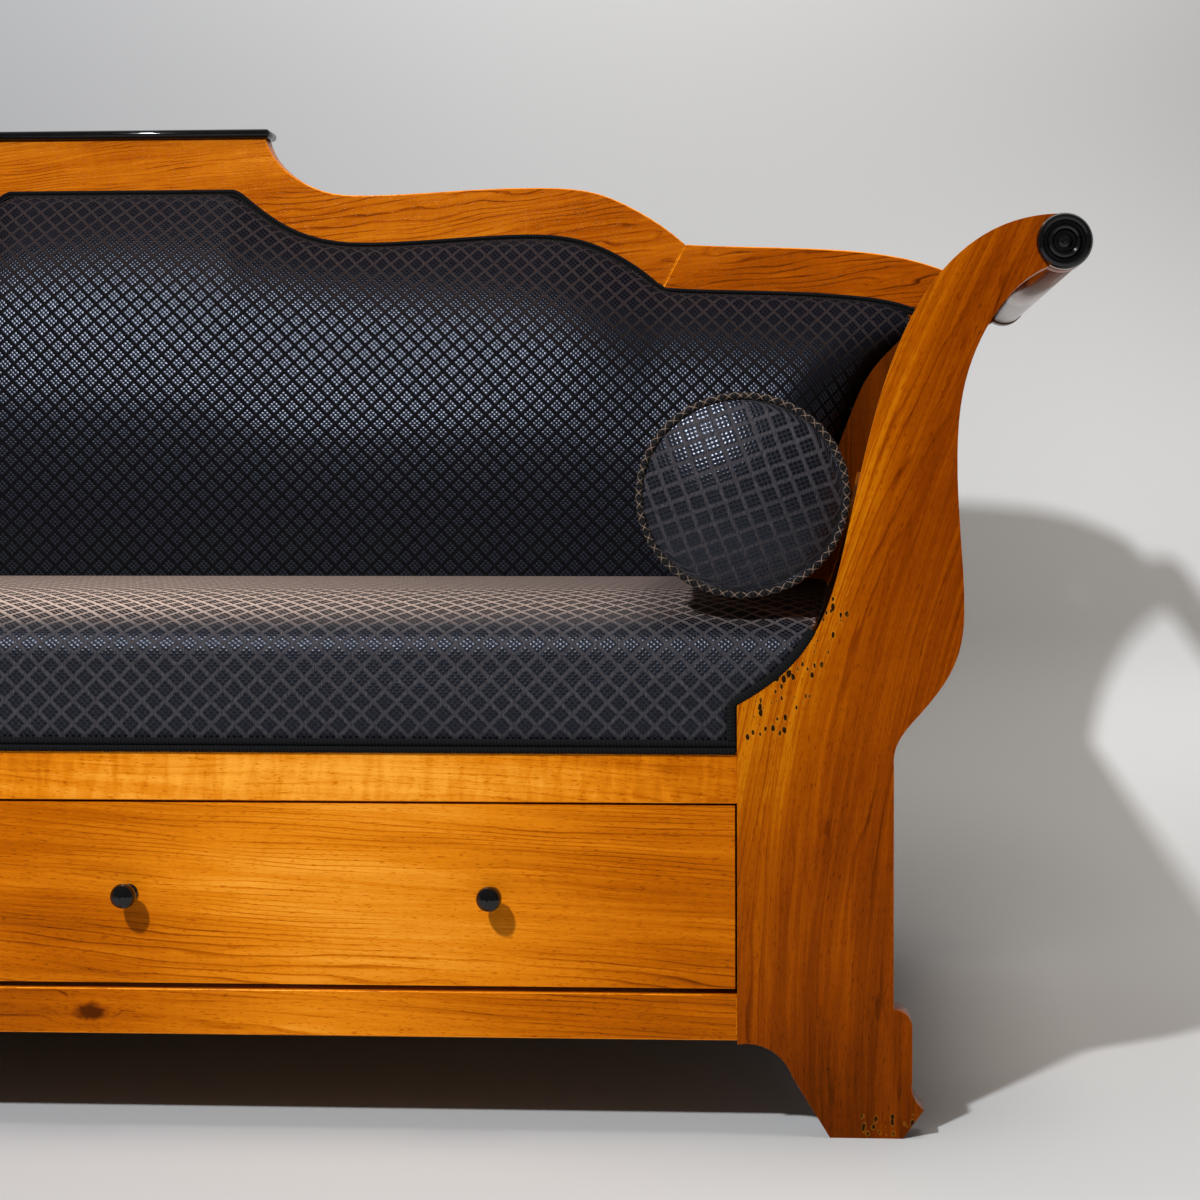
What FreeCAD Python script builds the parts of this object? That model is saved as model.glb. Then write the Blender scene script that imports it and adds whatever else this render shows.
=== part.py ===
import FreeCAD, Part
import math
import os

# A cherry sofa with S-scrolled arms, a stepped crest, two drawers under the seat,
# a padded seat and back, and two loose bolsters.
# Sizes are in mm. X runs along the seat, Y from front to back, Z up.
# The origin is on the floor under the middle. Depths are counted back from the arm boards' faces.

Vector = FreeCAD.Vector

# Case under the seat
SEAT_HALF = 758.0           # middle of the sofa to the inner edge of an arm post
POST_WIDTH = 133.0          # arm post below the shoulder
BOARD = 28.0                # thickness of arm boards and long rails
RAIL_RECESS = 2.0           # rails and drawer fronts lie behind the arm boards' faces
CASE_DEPTH = 695.0          # arm boards' faces to the front of the back frame
BASE_Z = 82.0               # underside of the case
BASE_RAIL = 40.0
SEAT_RAIL = 42.0
SIDE_RAIL = 25.0            # width of the side seat rails
DIVIDER = 40.0              # width of the drawer divider and the seat bearer
CASE_SIDE = 18.0
CASE_BACK = 8.0
PANEL_GROOVE = 6.0          # how far a panel's edge goes into its groove
TENON = 24.0                # length of a rail's tenon
TENON_THICK = 10.0
TENON_SHOULDER = 5.0
STUB_TENON = 10.0
GLUE_BLOCK = 45.0
GLUE_BLOCK_GAP = 4.0        # a glue block stays this far inside its rail's height

# Arms
SHOULDER_RISE = 45.0        # top of the seat frame to the arm's shoulder
ROLL_OUT = 274.1            # arm post's inner edge to the middle of the scroll
ROLL_RISE = 386.8           # shoulder to the middle of the scroll
ROLL_R = 23.3
ROLL_END_TURN = 211.0       # degrees that the scroll turns, from its top outwards
ARM_POST_RISE = 236.0       # the arm's outer sweep ends this far above the case's underside
PANEL = 10.0                # thickness of the curved arm panels
PANEL_INSET = 1.0           # panels lie inside the boards' outline
ARM_OPEN_RISE = 195.0       # shoulder to the panels' capping; above it the arm is open under the roll
ARM_CAP = 16.0              # thickness of that capping
ROLL_TENON = 10.0           # length and radius of the roll's round tenons
INNER_SWEEP = ((0.11, 0.046), (0.21, 0.11), (0.33, 0.315), (0.416, 0.568), (0.504, 0.746), (0.628, 0.885),
               (0.807, 0.976), (0.92, 0.997))
OUTER_SWEEP = ((0.241, 0.052), (0.419, 0.13), (0.543, 0.232), (0.589, 0.355), (0.566, 0.542), (0.543, 0.67),
               (0.583, 0.775), (0.701, 0.844), (0.865, 0.905), (0.964, 0.9455), (0.99, 0.97))
REAR_SWEEP = ((0.182, 0.212), (0.263, 0.456), (0.347, 0.615), (0.445, 0.756), (0.577, 0.851), (0.807, 0.976),
              (0.92, 0.997))

# Front feet, worked on the arm boards
KNUCKLE_TOP = 29.0          # top of the foot's knuckle above the case's underside
KNUCKLE_OUT = 16.0
KNUCKLE_DROP = 16.0
WAIST_Z = 50.0
TOE_OUT = 26.0
TOE_Z = 25.0
SOLE_IN = 79.0              # post's inner edge to the sole's near and far corners
SOLE_OUT = 141.0
COVE_OUT = 47.0             # post's inner edge to the foot of the cove under the rail
COVE_Z = 52.0
COVE_LIP = 2.5              # drop from the case's underside to the cove

# Rosettes on the scrolls
ROSETTE_DEPTH = 12.0
SPIGOT_R = 6.0
SPIGOT = 16.0

# Back frame and crest
BACK_FRAME = 28.0           # thickness of crest, posts, muntin and tacking rail
CREST_TOP = 632.0           # top of the crest above the seat frame
PEDIMENT_HALF = 172.0       # half of the crest's raised flat
SCARF_X = 665.0             # where the centre's top meets the side piece
SCARF_DROP = 127.0          # raised flat down to the scarf's top
SCARF_LEAN = 27.0           # the scarf leans in by this
SCARF_FACE = 51.5           # visible height of the scarf
CREST_TOP_SWEEP = ((0.026, 0.205), (0.085, 0.394), (0.156, 0.504), (0.227, 0.528), (0.442, 0.496),
                   (0.655, 0.472), (0.797, 0.535), (0.868, 0.65), (0.941, 0.819))
CREST_END_IN = 24.0         # the crest ends this far inside the middle of the scroll
CREST_END_DROP = 53.0       # scarf's top down to the crest's end
CREST_END_FACE = 44.0
CREST_SIDE_SWEEP = ((0.257, 0.066), (0.496, 0.132), (0.665, 0.245), (0.767, 0.377), (0.86, 0.566))
PAD_LINE_DROP = 61.0        # raised flat down to the straight top of the back pad
PAD_LINE_IN = 34.0          # the pad's straight top ends this far inside the raised flat
PAD_LINE_SWEEP = ((0.036, 0.128), (0.106, 0.34), (0.2, 0.494), (0.338, 0.536), (0.668, 0.468),
                  (0.762, 0.485), (0.832, 0.553), (0.902, 0.689), (0.96, 0.851))
PAD_END_OUT = 173.0         # arm post's inner edge to the back pad's top corner
PAD_END_DROP = 25.5         # scarf's foot down to that corner
PAD_SIDE_SWEEP = ((0.392, 0.176), (0.75, 0.412), (0.91, 0.686))
TACK_MARGIN = 25.0          # crest wood that goes on behind the pad's edge
CAP_HEIGHT = 11.0
CAP_OVERHANG = 6.0          # the cap stands out past the flat, in front and at its ends
BACK_POST = 68.0
BACK_POST_OUT = 60.0        # arm post's inner edge to a back post
REAR_FOOT = 50.0            # width of a rear foot on the floor
MUNTIN = 60.0
TACK_RAIL = 50.0
TACK_RAIL_RISE = 72.0       # seat frame to the tacking rail
LINING = 1.0
LINING_LAP = 18.0           # the lining lies on its neighbours by this

# Drawers
DRAWER_H = 157.0
DRAWER_GAP = 2.0
DRAWER_SILL = 5.0           # open line under a drawer front
DRAWER_FRONT = 20.0
DRAWER_ROOM = 93.0          # depth of the case that is left behind a closed drawer
DRAWER_SIDE = 12.0
DRAWER_SIDE_DROP = 12.0     # drawer sides are lower than the front by this
DRAWER_BACK = 12.0
DRAWER_BOTTOM = 8.0
BOTTOM_RISE = 8.0           # drawer sides' lower edge to the bottom board
FRONT_TAIL = 14.0           # length of the tails in the drawer front
TAILS = 4
TAIL_SHARE = 0.55           # part of the height that is tails
TAIL_SLOPE = 9.5            # degrees
RUN_GAP = 0.3               # drawer to its runners
RUNNER = 40.0
RUNNER_H = 22.0
CENTER_RUNNER = 120.0
GUIDE_H = 34.0
STOP_LENGTH = 20.0
STOP_WIDTH = 24.0
STOP_GAP = 0.5
KNOB_LENGTH = 26.0
KNOB_R = 10.8
KNOB_SPACING = 316.0
KNOB_TENON_R = 4.5

# Upholstery
STRAP = 1.6                 # thickness of the webbing
STRAP_WIDTH = 60.0
STRAPS_ACROSS = 5           # straps that run along the seat
STRAPS_DEEP = 12            # straps that run from front to back
BACK_STRAPS = 8
PAD_GAP = 0.5               # pads to the wood beside them
SEAT_EDGE = 110.0           # seat pad's height at its front edge
SEAT_CROWN_RISE = 20.0      # front edge up to the highest line
SEAT_BACK_FALL = 11.0       # highest line down to the rear
SEAT_CROWN_DEPTH = 160.0    # depth of the highest line
SEAT_END_DROP = 1.5
SEAT_EDGE_R = 28.0
SEAT_BULGE = 3.0            # the front border swells by this
PADS_APART = 1.4            # seat pad's rear to the fullest part of the back pad
SEAT_PAD_OVER = 85.0        # the pad reaches this far over the arm's shoulder
BACK_PAD = 96.0             # greatest thickness of the back pad
BACK_PAD_EDGE = 13.0
BACK_FULLNESS = ((0.96, 0.0), (1.0, 0.24), (0.94, 0.52), (0.62, 0.82))  # shares of thickness and height
BRAID = 9.0
BRAID_THICK = 3.7
SEAT_BRAID = 12.5
BACK_BRAID_LAP = 2.0        # the back braid lies on the crest by this
BOLSTER_R = 88.0
BOLSTER_ARM_GAP = 2.4       # bolster's fullest part to the arm's sweep
BOLSTER_FRONT = 10.0        # depth of the front ring
BOLSTER_REAR = 8.0          # rear ring to the seat pad's rear
BOLSTER_DOME = 9.0
BOLSTER_TAPER = 3.0         # a bolster is drawn in at its ends
BOLSTER_GAP = 0.3
CORD_R = 3.5

# Places that follow from the sizes
OVERALL_DEPTH = CASE_DEPTH + BACK_FRAME + LINING
FRONT_Y = -(OVERALL_DEPTH + RAIL_RECESS - KNOB_LENGTH) / 2
POST_OUT = SEAT_HALF + POST_WIDTH
BASE_TOP = BASE_Z + BASE_RAIL
DRAWER_Z = BASE_TOP + DRAWER_SILL
SEAT_RAIL_Z = DRAWER_Z + DRAWER_H + DRAWER_GAP
SEAT_TOP = SEAT_RAIL_Z + SEAT_RAIL
SHOULDER_Z = SEAT_TOP + SHOULDER_RISE
ROLL = Vector(SEAT_HALF + ROLL_OUT, 0, SHOULDER_Z + ROLL_RISE)
SHOULDER = Vector(SEAT_HALF, 0, SHOULDER_Z)
RAIL_BACK = RAIL_RECESS + BOARD
REAR_BOARD = CASE_DEPTH - BOARD
BACK_REAR = CASE_DEPTH + BACK_FRAME
CREST_Z = SEAT_TOP + CREST_TOP
SCARF_HEAD = Vector(SCARF_X, 0, CREST_Z - SCARF_DROP)
SCARF_FOOT = SCARF_HEAD + Vector(-SCARF_LEAN, 0, -SCARF_FACE)
PAD_CORNER = Vector(PEDIMENT_HALF - PAD_LINE_IN, 0, CREST_Z - PAD_LINE_DROP)
PAD_END = Vector(SEAT_HALF + PAD_END_OUT, 0, SCARF_FOOT.z - PAD_END_DROP)
RUNNER_TOP = DRAWER_Z - RUN_GAP
PAD_Z = SEAT_TOP + 2 * STRAP
BACK_FACE = CASE_DEPTH - STRAP
POST_X = SEAT_HALF + BACK_POST_OUT
CAP_HALF = PEDIMENT_HALF + CAP_OVERHANG
DRAWER_REAR = CASE_DEPTH - DRAWER_ROOM
DRAWER_SIDE_H = DRAWER_H - DRAWER_SIDE_DROP
SEAT_CROWN = SEAT_EDGE + SEAT_CROWN_RISE
SEAT_BACK = SEAT_CROWN - SEAT_BACK_FALL
SEAT_PAD_DEPTH = BACK_FACE - BACK_PAD - PADS_APART
BOLSTER_END_R = BOLSTER_R - BOLSTER_TAPER
BOLSTER_RINGS = (BOLSTER_FRONT, SEAT_PAD_DEPTH - BOLSTER_REAR)

UP = Vector(0, 0, 1)
OUT = Vector(1, 0, 0)


def at(x, depth, z):
    """Point at a depth behind the arm boards' faces."""
    return Vector(x, FRONT_Y + depth, z)


def block(x0, x1, d0, d1, z0, z1):
    """Straight board between two corners."""
    return Part.makeBox(x1 - x0, d1 - d0, z1 - z0, at(x0, d0, z0))


def mirrored(shape):
    """Same piece on the other side of the middle."""
    return shape.mirror(Vector(0, 0, 0), OUT)


def spline(points):
    """Smooth curve through points."""
    curve = Part.BSplineCurve()
    curve.interpolate(Points=points)
    return curve


def sweep(start, end, shares):
    """Points from start to end. Between them each is a share of the run's width and height."""
    span = end - start
    between = [start + Vector(span.x * across, 0, span.z * along) for across, along in shares]
    return [start] + between + [end]


def beside(curve, distance, spans=18):
    """The curve moved sideways, to the right of its own direction."""
    first = curve.FirstParameter
    step = (curve.LastParameter - first) / spans
    points = []
    for i in range(spans + 1):
        heading = curve.tangent(first + i * step)[0]
        points.append(curve.value(first + i * step) + Vector(heading.z, 0, -heading.x) * distance)
    return spline(points)


def joined(pieces):
    """Wire of curves and corner points, in order, with straight lines across the gaps."""
    edges = []
    ends = []
    for piece in pieces:
        if isinstance(piece, Vector):
            ends.append((piece, piece, None))
        else:
            first, last = piece.FirstParameter, piece.LastParameter
            ends.append((piece.value(first), piece.value(last), piece.toShape()))
    for i, (start, end, edge) in enumerate(ends):
        if edge is not None:
            edges.append(edge)
        following = ends[(i + 1) % len(ends)][0]
        if (following - end).Length > 0.001:
            edges.append(Part.makeLine(end, following))
    return Part.Wire(edges)


def cut_out(pieces, d0, d1):
    """Board cut to a closed outline in the XZ plane, from depth d0 to d1."""
    face = Part.Face(joined(pieces))
    face.translate(at(0, d0, 0))
    return face.extrude(Vector(0, d1 - d0, 0))


def arc(first, middle, last):
    return Part.Arc(first, middle, last).toShape()


def turned(profile, x, depth, z):
    """Piece turned about a line from front to back. Its profile is (depth, radius) pairs."""
    points = [at(x + radius, depth + along, z) for along, radius in profile]
    face = Part.Face(Part.makePolygon(points + [points[0]]))
    return face.revolve(at(x, depth, z), Vector(0, 1, 0), 360)


# Arm outline, drawn on the right-hand side

def inner_sweep(shares=INNER_SWEEP):
    return spline(sweep(SHOULDER, ROLL + UP * ROLL_R, shares))


def on_roll(turn, radius):
    """Point on the scroll's edge, after a turn in degrees from its top."""
    angle = math.radians(90 - turn)
    return ROLL + Vector(math.cos(angle), 0, math.sin(angle)) * radius


def outer_sweep():
    foot = Vector(POST_OUT, 0, BASE_Z + ARM_POST_RISE)
    return spline(sweep(on_roll(ROLL_END_TURN, ROLL_R), foot, OUTER_SWEEP))


def scroll_arc(radius):
    middle = on_roll(ROLL_END_TURN / 2, radius)
    return Part.Arc(on_roll(0, radius), middle, on_roll(ROLL_END_TURN, radius))


def arm_outline(inset, lower, shares=INNER_SWEEP):
    """Arm outline drawn in by an inset, closed by pieces from the post's outer to its inner edge."""
    inner = beside(inner_sweep(shares), inset)
    return [inner, scroll_arc(ROLL_R - inset), beside(outer_sweep(), inset)] + lower


def foot_outline():
    top = BASE_Z + KNUCKLE_TOP
    knuckle = Vector(POST_OUT + KNUCKLE_OUT, 0, top - KNUCKLE_DROP)
    waist = Vector(POST_OUT + KNUCKLE_OUT, 0, WAIST_Z)
    toe = Vector(POST_OUT + TOE_OUT, 0, TOE_Z)
    cove = Vector(SEAT_HALF + COVE_OUT, 0, COVE_Z)
    lip = Vector(SEAT_HALF, 0, BASE_Z - COVE_LIP)
    bend = math.sqrt(0.5)
    round_top = Vector(POST_OUT + KNUCKLE_OUT * bend, 0, knuckle.z + KNUCKLE_DROP * bend)
    hollow = waist + Vector((toe.x - waist.x) * (1 - bend), 0, (toe.z - waist.z) * bend)
    cove_middle = Vector(lip.x + COVE_OUT * bend, 0, cove.z + (lip.z - cove.z) * bend)
    return [Part.Arc(Vector(POST_OUT, 0, top), round_top, knuckle), Part.Arc(waist, hollow, toe),
            Vector(SEAT_HALF + SOLE_OUT, 0, 0), Vector(SEAT_HALF + SOLE_IN, 0, 0),
            Part.Arc(cove, cove_middle, lip)]


def case_outline(inset, bottom):
    return [Vector(POST_OUT - inset, 0, bottom), Vector(SEAT_HALF + inset, 0, bottom)]


def arm_prism(inset, d0, d1, bottom=BASE_Z, shares=INNER_SWEEP):
    return cut_out(arm_outline(inset, case_outline(inset, bottom), shares), d0, d1)


def space_beside_arm(gap, d0, d1, shares=INNER_SWEEP):
    """Room that a pad leaves free: the arm from its inner sweep outwards, with a gap."""
    outer = [Vector(ROLL.x, 0, BASE_Z), Vector(SEAT_HALF - gap, 0, BASE_Z)]
    return cut_out([beside(inner_sweep(shares), -gap)] + outer, d0, d1)


def rosette():
    """Turned disc on the scroll's end. Its rings are shares of its depth and radius."""
    spigot = [(SPIGOT, 0), (SPIGOT, SPIGOT_R), (0, SPIGOT_R), (0, ROLL_R)]
    rings = ((0.45, 1.0), (0.7, 0.94), (0.82, 0.84), (0.7, 0.76), (0.4, 0.72), (0.4, 0.64), (0.62, 0.6),
             (0.74, 0.52), (0.66, 0.44), (0.42, 0.38), (0.42, 0.3), (0.75, 0.26), (0.94, 0.17), (1.0, 0.0))
    front = [(-ROSETTE_DEPTH * out, ROLL_R * radius) for out, radius in rings]
    return turned(spigot + front, ROLL.x, 0, ROLL.z)


def arm_roll():
    """Round bar between the scrolls, tenoned into both boards."""
    length = REAR_BOARD - BOARD
    along = Vector(0, 1, 0)
    bar = Part.makeCylinder(ROLL_R - PANEL_INSET, length, at(ROLL.x, BOARD, ROLL.z), along)
    core_start = at(ROLL.x, BOARD - ROLL_TENON, ROLL.z)
    core = Part.makeCylinder(ROLL_TENON, length + 2 * ROLL_TENON, core_start, along)
    return bar.fuse(core).removeSplitter()


def arm_pieces():
    """Boards, curved panels and roll of the right arm. The rear board is wider inside."""
    roll = arm_roll()
    front = cut_out(arm_outline(0, foot_outline()), 0, BOARD).cut(roll)
    rear = arm_prism(0, REAR_BOARD, CASE_DEPTH, BASE_Z, REAR_SWEEP).cut(roll)
    skin = arm_prism(PANEL_INSET, BOARD, REAR_BOARD)
    hollow = arm_prism(PANEL_INSET + PANEL, BOARD, REAR_BOARD, BASE_Z - PANEL)
    cap_top = SHOULDER_Z + ARM_OPEN_RISE
    far = ROLL.x + ROLL_R
    open_room = block(SEAT_HALF, far, BOARD, REAR_BOARD, cap_top, ROLL.z + ROLL_R)
    cap_room = block(SEAT_HALF, far, BOARD, REAR_BOARD, cap_top - ARM_CAP, cap_top)
    under_shoulder = block(SEAT_HALF, SEAT_HALF + PANEL + PANEL_INSET + BOARD, BOARD, REAR_BOARD,
                           BASE_Z - PANEL, SHOULDER_Z - PANEL_INSET)
    skins = skin.cut([hollow, open_room, cap_room, under_shoulder]).Solids
    skins.sort(key=lambda solid: solid.CenterOfMass.x)
    inner = skins[0].fuse(skin.common(cap_room)).removeSplitter()
    return front, rear, inner, skins[-1], roll


# Case

def tenoned_rail(d0, z0, z1):
    """Long rail between the arm boards, with a tenon at each end."""
    middle = d0 + BOARD / 2
    tongue = block(-SEAT_HALF - TENON, SEAT_HALF + TENON, middle - TENON_THICK / 2, middle + TENON_THICK / 2,
                   z0 + TENON_SHOULDER, z1 - TENON_SHOULDER)
    return block(-SEAT_HALF, SEAT_HALF, d0, d0 + BOARD, z0, z1).fuse(tongue).removeSplitter()


def divider():
    half = DIVIDER / 2
    middle = RAIL_RECESS + BOARD / 2
    tongue = block(TENON_SHOULDER - half, half - TENON_SHOULDER, middle - TENON_THICK / 2,
                   middle + TENON_THICK / 2, BASE_TOP - STUB_TENON, SEAT_RAIL_Z + STUB_TENON)
    post = block(-half, half, RAIL_RECESS, RAIL_BACK, BASE_TOP, SEAT_RAIL_Z)
    return post.fuse(tongue).removeSplitter()


def seat_bearer():
    half = DIVIDER / 2
    tongue = block(-TENON_THICK / 2, TENON_THICK / 2, RAIL_BACK - STUB_TENON, REAR_BOARD + STUB_TENON,
                   SEAT_RAIL_Z + STUB_TENON, SEAT_TOP - STUB_TENON)
    beam = block(-half, half, RAIL_BACK, REAR_BOARD, SEAT_RAIL_Z, SEAT_TOP)
    return beam.fuse(tongue).removeSplitter()


def glue_blocks():
    """Four three-cornered blocks in the corners of the seat frame."""
    inner = SEAT_HALF - SIDE_RAIL
    blocks = []
    for depth, inward in ((RAIL_BACK, 1), (REAR_BOARD, -1)):
        corner = at(inner, depth, SEAT_RAIL_Z + GLUE_BLOCK_GAP)
        points = [corner, corner - OUT * GLUE_BLOCK, corner + Vector(0, inward * GLUE_BLOCK, 0), corner]
        solid = Part.Face(Part.makePolygon(points)).extrude(UP * (SEAT_RAIL - 2 * GLUE_BLOCK_GAP))
        blocks += [solid, mirrored(solid)]
    return Part.makeCompound(blocks)


def center_runner():
    half = CENTER_RUNNER / 2
    sole = block(-half, half, RAIL_BACK, REAR_BOARD, RUNNER_TOP - RUNNER_H, RUNNER_TOP)
    guide = block(-DIVIDER / 2, DIVIDER / 2, RAIL_BACK, REAR_BOARD, RUNNER_TOP, RUNNER_TOP + GUIDE_H)
    return sole.fuse(guide).removeSplitter()


def drawer_stops():
    depth = DRAWER_REAR + STOP_GAP
    outer = SEAT_HALF - RUNNER / 2 - STOP_WIDTH / 2
    stops = []
    for x in (outer, DIVIDER / 2):
        solid = block(x, x + STOP_WIDTH, depth, depth + STOP_LENGTH, RUNNER_TOP, RUNNER_TOP + STOP_LENGTH)
        stops += [solid, mirrored(solid)]
    return Part.makeCompound(stops)


# Back

def pad_line():
    """Line where the back pad meets the crest: straight, then an S-sweep, then the side piece's hollow."""
    middle = spline(sweep(PAD_CORNER, SCARF_FOOT, PAD_LINE_SWEEP))
    side = spline(sweep(SCARF_FOOT, PAD_END, PAD_SIDE_SWEEP))
    return middle, side


def crest_pieces():
    """Centre and right piece of the crest. Their lower edges lie hidden behind the back pad."""
    front, rear = CASE_DEPTH, BACK_REAR
    flat_end = Vector(PEDIMENT_HALF, 0, CREST_Z)
    tack = (SCARF_FOOT - SCARF_HEAD) * (TACK_MARGIN / SCARF_FACE)
    top = spline(sweep(flat_end, SCARF_HEAD, CREST_TOP_SWEEP))
    low_start = PAD_CORNER + tack
    low_end = SCARF_FOOT + tack
    low = spline(sweep(low_start, low_end, PAD_LINE_SWEEP))
    low.reverse()
    half = cut_out([Vector(0, 0, CREST_Z), top, low, Vector(0, 0, low_start.z)], front, rear)
    center = half.fuse(mirrored(half)).removeSplitter()
    end_head = Vector(ROLL.x - CREST_END_IN, 0, SCARF_HEAD.z - CREST_END_DROP)
    end_foot = end_head - UP * CREST_END_FACE
    side_top = spline(sweep(SCARF_HEAD, end_head, CREST_SIDE_SWEEP))
    side = cut_out([side_top, end_foot, low_end], front, rear)
    return center, side


def crest_cap():
    """Half-round black moulding on the crest's raised flat."""
    front = CASE_DEPTH - CAP_OVERHANG
    half = CAP_HEIGHT / 2
    nose = front + half
    top_z = CREST_Z + CAP_HEIGHT
    low_nose, high_nose = at(-CAP_HALF, nose, CREST_Z), at(-CAP_HALF, nose, top_z)
    low_rear, high_rear = at(-CAP_HALF, BACK_REAR, CREST_Z), at(-CAP_HALF, BACK_REAR, top_z)
    section = [arc(low_nose, at(-CAP_HALF, front, CREST_Z + half), high_nose),
               Part.makeLine(high_nose, high_rear), Part.makeLine(high_rear, low_rear),
               Part.makeLine(low_rear, low_nose)]
    bar = Part.Face(Part.Wire(section)).extrude(OUT * (2 * CAP_HALF))
    end = CAP_HALF - half
    plan = [arc(Vector(-end, 0, top_z), Vector(-CAP_HALF, 0, CREST_Z + half), Vector(-end, 0, CREST_Z)),
            Part.makeLine(Vector(-end, 0, CREST_Z), Vector(end, 0, CREST_Z)),
            arc(Vector(end, 0, CREST_Z), Vector(CAP_HALF, 0, CREST_Z + half), Vector(end, 0, top_z)),
            Part.makeLine(Vector(end, 0, top_z), Vector(-end, 0, top_z))]
    ends = Part.Face(Part.Wire(plan))
    ends.translate(at(0, front, 0))
    return bar.common(ends.extrude(Vector(0, BACK_REAR - front, 0)))


def back_post(crest_side):
    """Right back post from the floor to the crest, with a tapered rear foot."""
    outer = POST_X + BACK_POST
    outline = [Vector(POST_X, 0, CREST_Z), Vector(outer, 0, CREST_Z), Vector(outer, 0, 0),
               Vector(outer - REAR_FOOT, 0, 0), Vector(POST_X, 0, BASE_Z)]
    pieces = cut_out(outline, CASE_DEPTH, BACK_REAR).cut(crest_side).Solids
    pieces.sort(key=lambda solid: solid.CenterOfMass.z)
    return pieces[0]


def back_muntin(crest_center):
    half = MUNTIN / 2
    bar = block(-half, half, CASE_DEPTH, BACK_REAR, SEAT_RAIL_Z, CREST_Z).cut(crest_center).Solids
    bar.sort(key=lambda solid: solid.CenterOfMass.z)
    return bar[0]


def tacking_rail():
    low = SEAT_TOP + TACK_RAIL_RISE
    middle = CASE_DEPTH + BACK_FRAME / 2
    rail = block(-POST_X, POST_X, CASE_DEPTH, BACK_REAR, low, low + TACK_RAIL)
    tongue = block(-POST_X - STUB_TENON, POST_X + STUB_TENON, middle - TENON_THICK / 2,
                   middle + TENON_THICK / 2, low + TENON_SHOULDER, low + TACK_RAIL - TENON_SHOULDER)
    lap = block(-MUNTIN / 2, MUNTIN / 2, middle, BACK_REAR, low, low + TACK_RAIL)
    return rail.fuse(tongue).removeSplitter().cut(lap)


def back_lining():
    """Cloth over the back of the frame, nailed to the posts, the crest and the seat rail."""
    middle, side = pad_line()
    lift = UP * (LINING_LAP - TACK_MARGIN)
    outer = POST_X + LINING_LAP
    right = [Vector(0, 0, PAD_CORNER.z), PAD_CORNER, middle, side]
    flat = cut_out(right + [Vector(PAD_END.x, 0, SEAT_RAIL_Z), Vector(0, 0, SEAT_RAIL_Z)],
                   BACK_REAR, BACK_REAR + LINING)
    flat.translate(lift)
    kept = flat.common(block(0, outer, BACK_REAR, BACK_REAR + LINING, SEAT_RAIL_Z, CREST_Z))
    return kept.fuse(mirrored(kept)).removeSplitter()


# Upholstery

def seat_webbing():
    """Flat jute straps: a lower set from front to back and an upper set along the seat."""
    straps = []
    pitch = 2 * (SEAT_HALF - SIDE_RAIL) / STRAPS_DEEP
    for i in range(STRAPS_DEEP):
        x = (i + 0.5 - STRAPS_DEEP / 2) * pitch
        straps.append(block(x - STRAP_WIDTH / 2, x + STRAP_WIDTH / 2, RAIL_BACK - BOARD / 2,
                            CASE_DEPTH - BOARD / 2, SEAT_TOP, SEAT_TOP + STRAP))
    pitch = (REAR_BOARD - RAIL_BACK) / STRAPS_ACROSS
    for i in range(STRAPS_ACROSS):
        depth = RAIL_BACK + (i + 0.5) * pitch
        straps.append(block(-SEAT_HALF + PAD_GAP, SEAT_HALF - PAD_GAP, depth - STRAP_WIDTH / 2,
                            depth + STRAP_WIDTH / 2, SEAT_TOP + STRAP, SEAT_TOP + 2 * STRAP))
    return Part.makeCompound(straps)


def back_webbing():
    """Upright straps from the tacking rail to the crest's hidden margin."""
    low = SEAT_TOP + TACK_RAIL_RISE
    high = SCARF_FOOT.z - BRAID
    pitch = 2 * SCARF_FOOT.x / BACK_STRAPS
    straps = []
    for i in range(BACK_STRAPS):
        x = (i + 0.5 - BACK_STRAPS / 2) * pitch
        straps.append(block(x - STRAP_WIDTH / 2, x + STRAP_WIDTH / 2, BACK_FACE, CASE_DEPTH, low, high))
    return straps


def seat_drop(x):
    """How much lower the seat's crown lies towards its ends."""
    return SEAT_END_DROP * (x / SEAT_HALF) ** 2


def seat_section(x):
    """Seat pad cut across: a swelling front border, a rounded edge and a crowned top."""
    drop = seat_drop(x)
    foot = at(x, RAIL_RECESS + SEAT_BULGE, PAD_Z)
    edge = at(x, RAIL_RECESS + SEAT_BULGE, PAD_Z + SEAT_EDGE - SEAT_EDGE_R - drop)
    swell = at(x, RAIL_RECESS, (foot.z + edge.z) / 2)
    lip = at(x, RAIL_RECESS + SEAT_BULGE + SEAT_EDGE_R, PAD_Z + SEAT_EDGE - drop)
    bend = math.sqrt(0.5)
    round_edge = at(x, RAIL_RECESS + SEAT_BULGE + SEAT_EDGE_R * (1 - bend), edge.z + SEAT_EDGE_R * bend)
    crown = at(x, SEAT_CROWN_DEPTH, PAD_Z + SEAT_CROWN - drop)
    rise = (lip + crown) * 0.5 + UP * ((SEAT_CROWN - SEAT_EDGE) / 4)
    rear = at(x, SEAT_PAD_DEPTH, PAD_Z + SEAT_BACK - drop)
    fall = (crown + rear) * 0.5 + UP * ((SEAT_CROWN - SEAT_BACK) / 4)
    heel = at(x, SEAT_PAD_DEPTH, PAD_Z)
    return Part.Wire([arc(foot, swell, edge), arc(edge, round_edge, lip), arc(lip, rise, crown),
                      arc(crown, fall, rear), Part.makeLine(rear, heel), Part.makeLine(heel, foot)])


def seat_pad():
    reach = SEAT_HALF + SEAT_PAD_OVER
    loft = Part.makeLoft([seat_section(reach * share) for share in (-1, -0.5, 0, 0.5, 1)], True, False)
    beside_arm = space_beside_arm(PAD_GAP, 0, SEAT_PAD_DEPTH + BOARD)
    return loft.cut(beside_arm).cut(mirrored(beside_arm))


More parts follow.
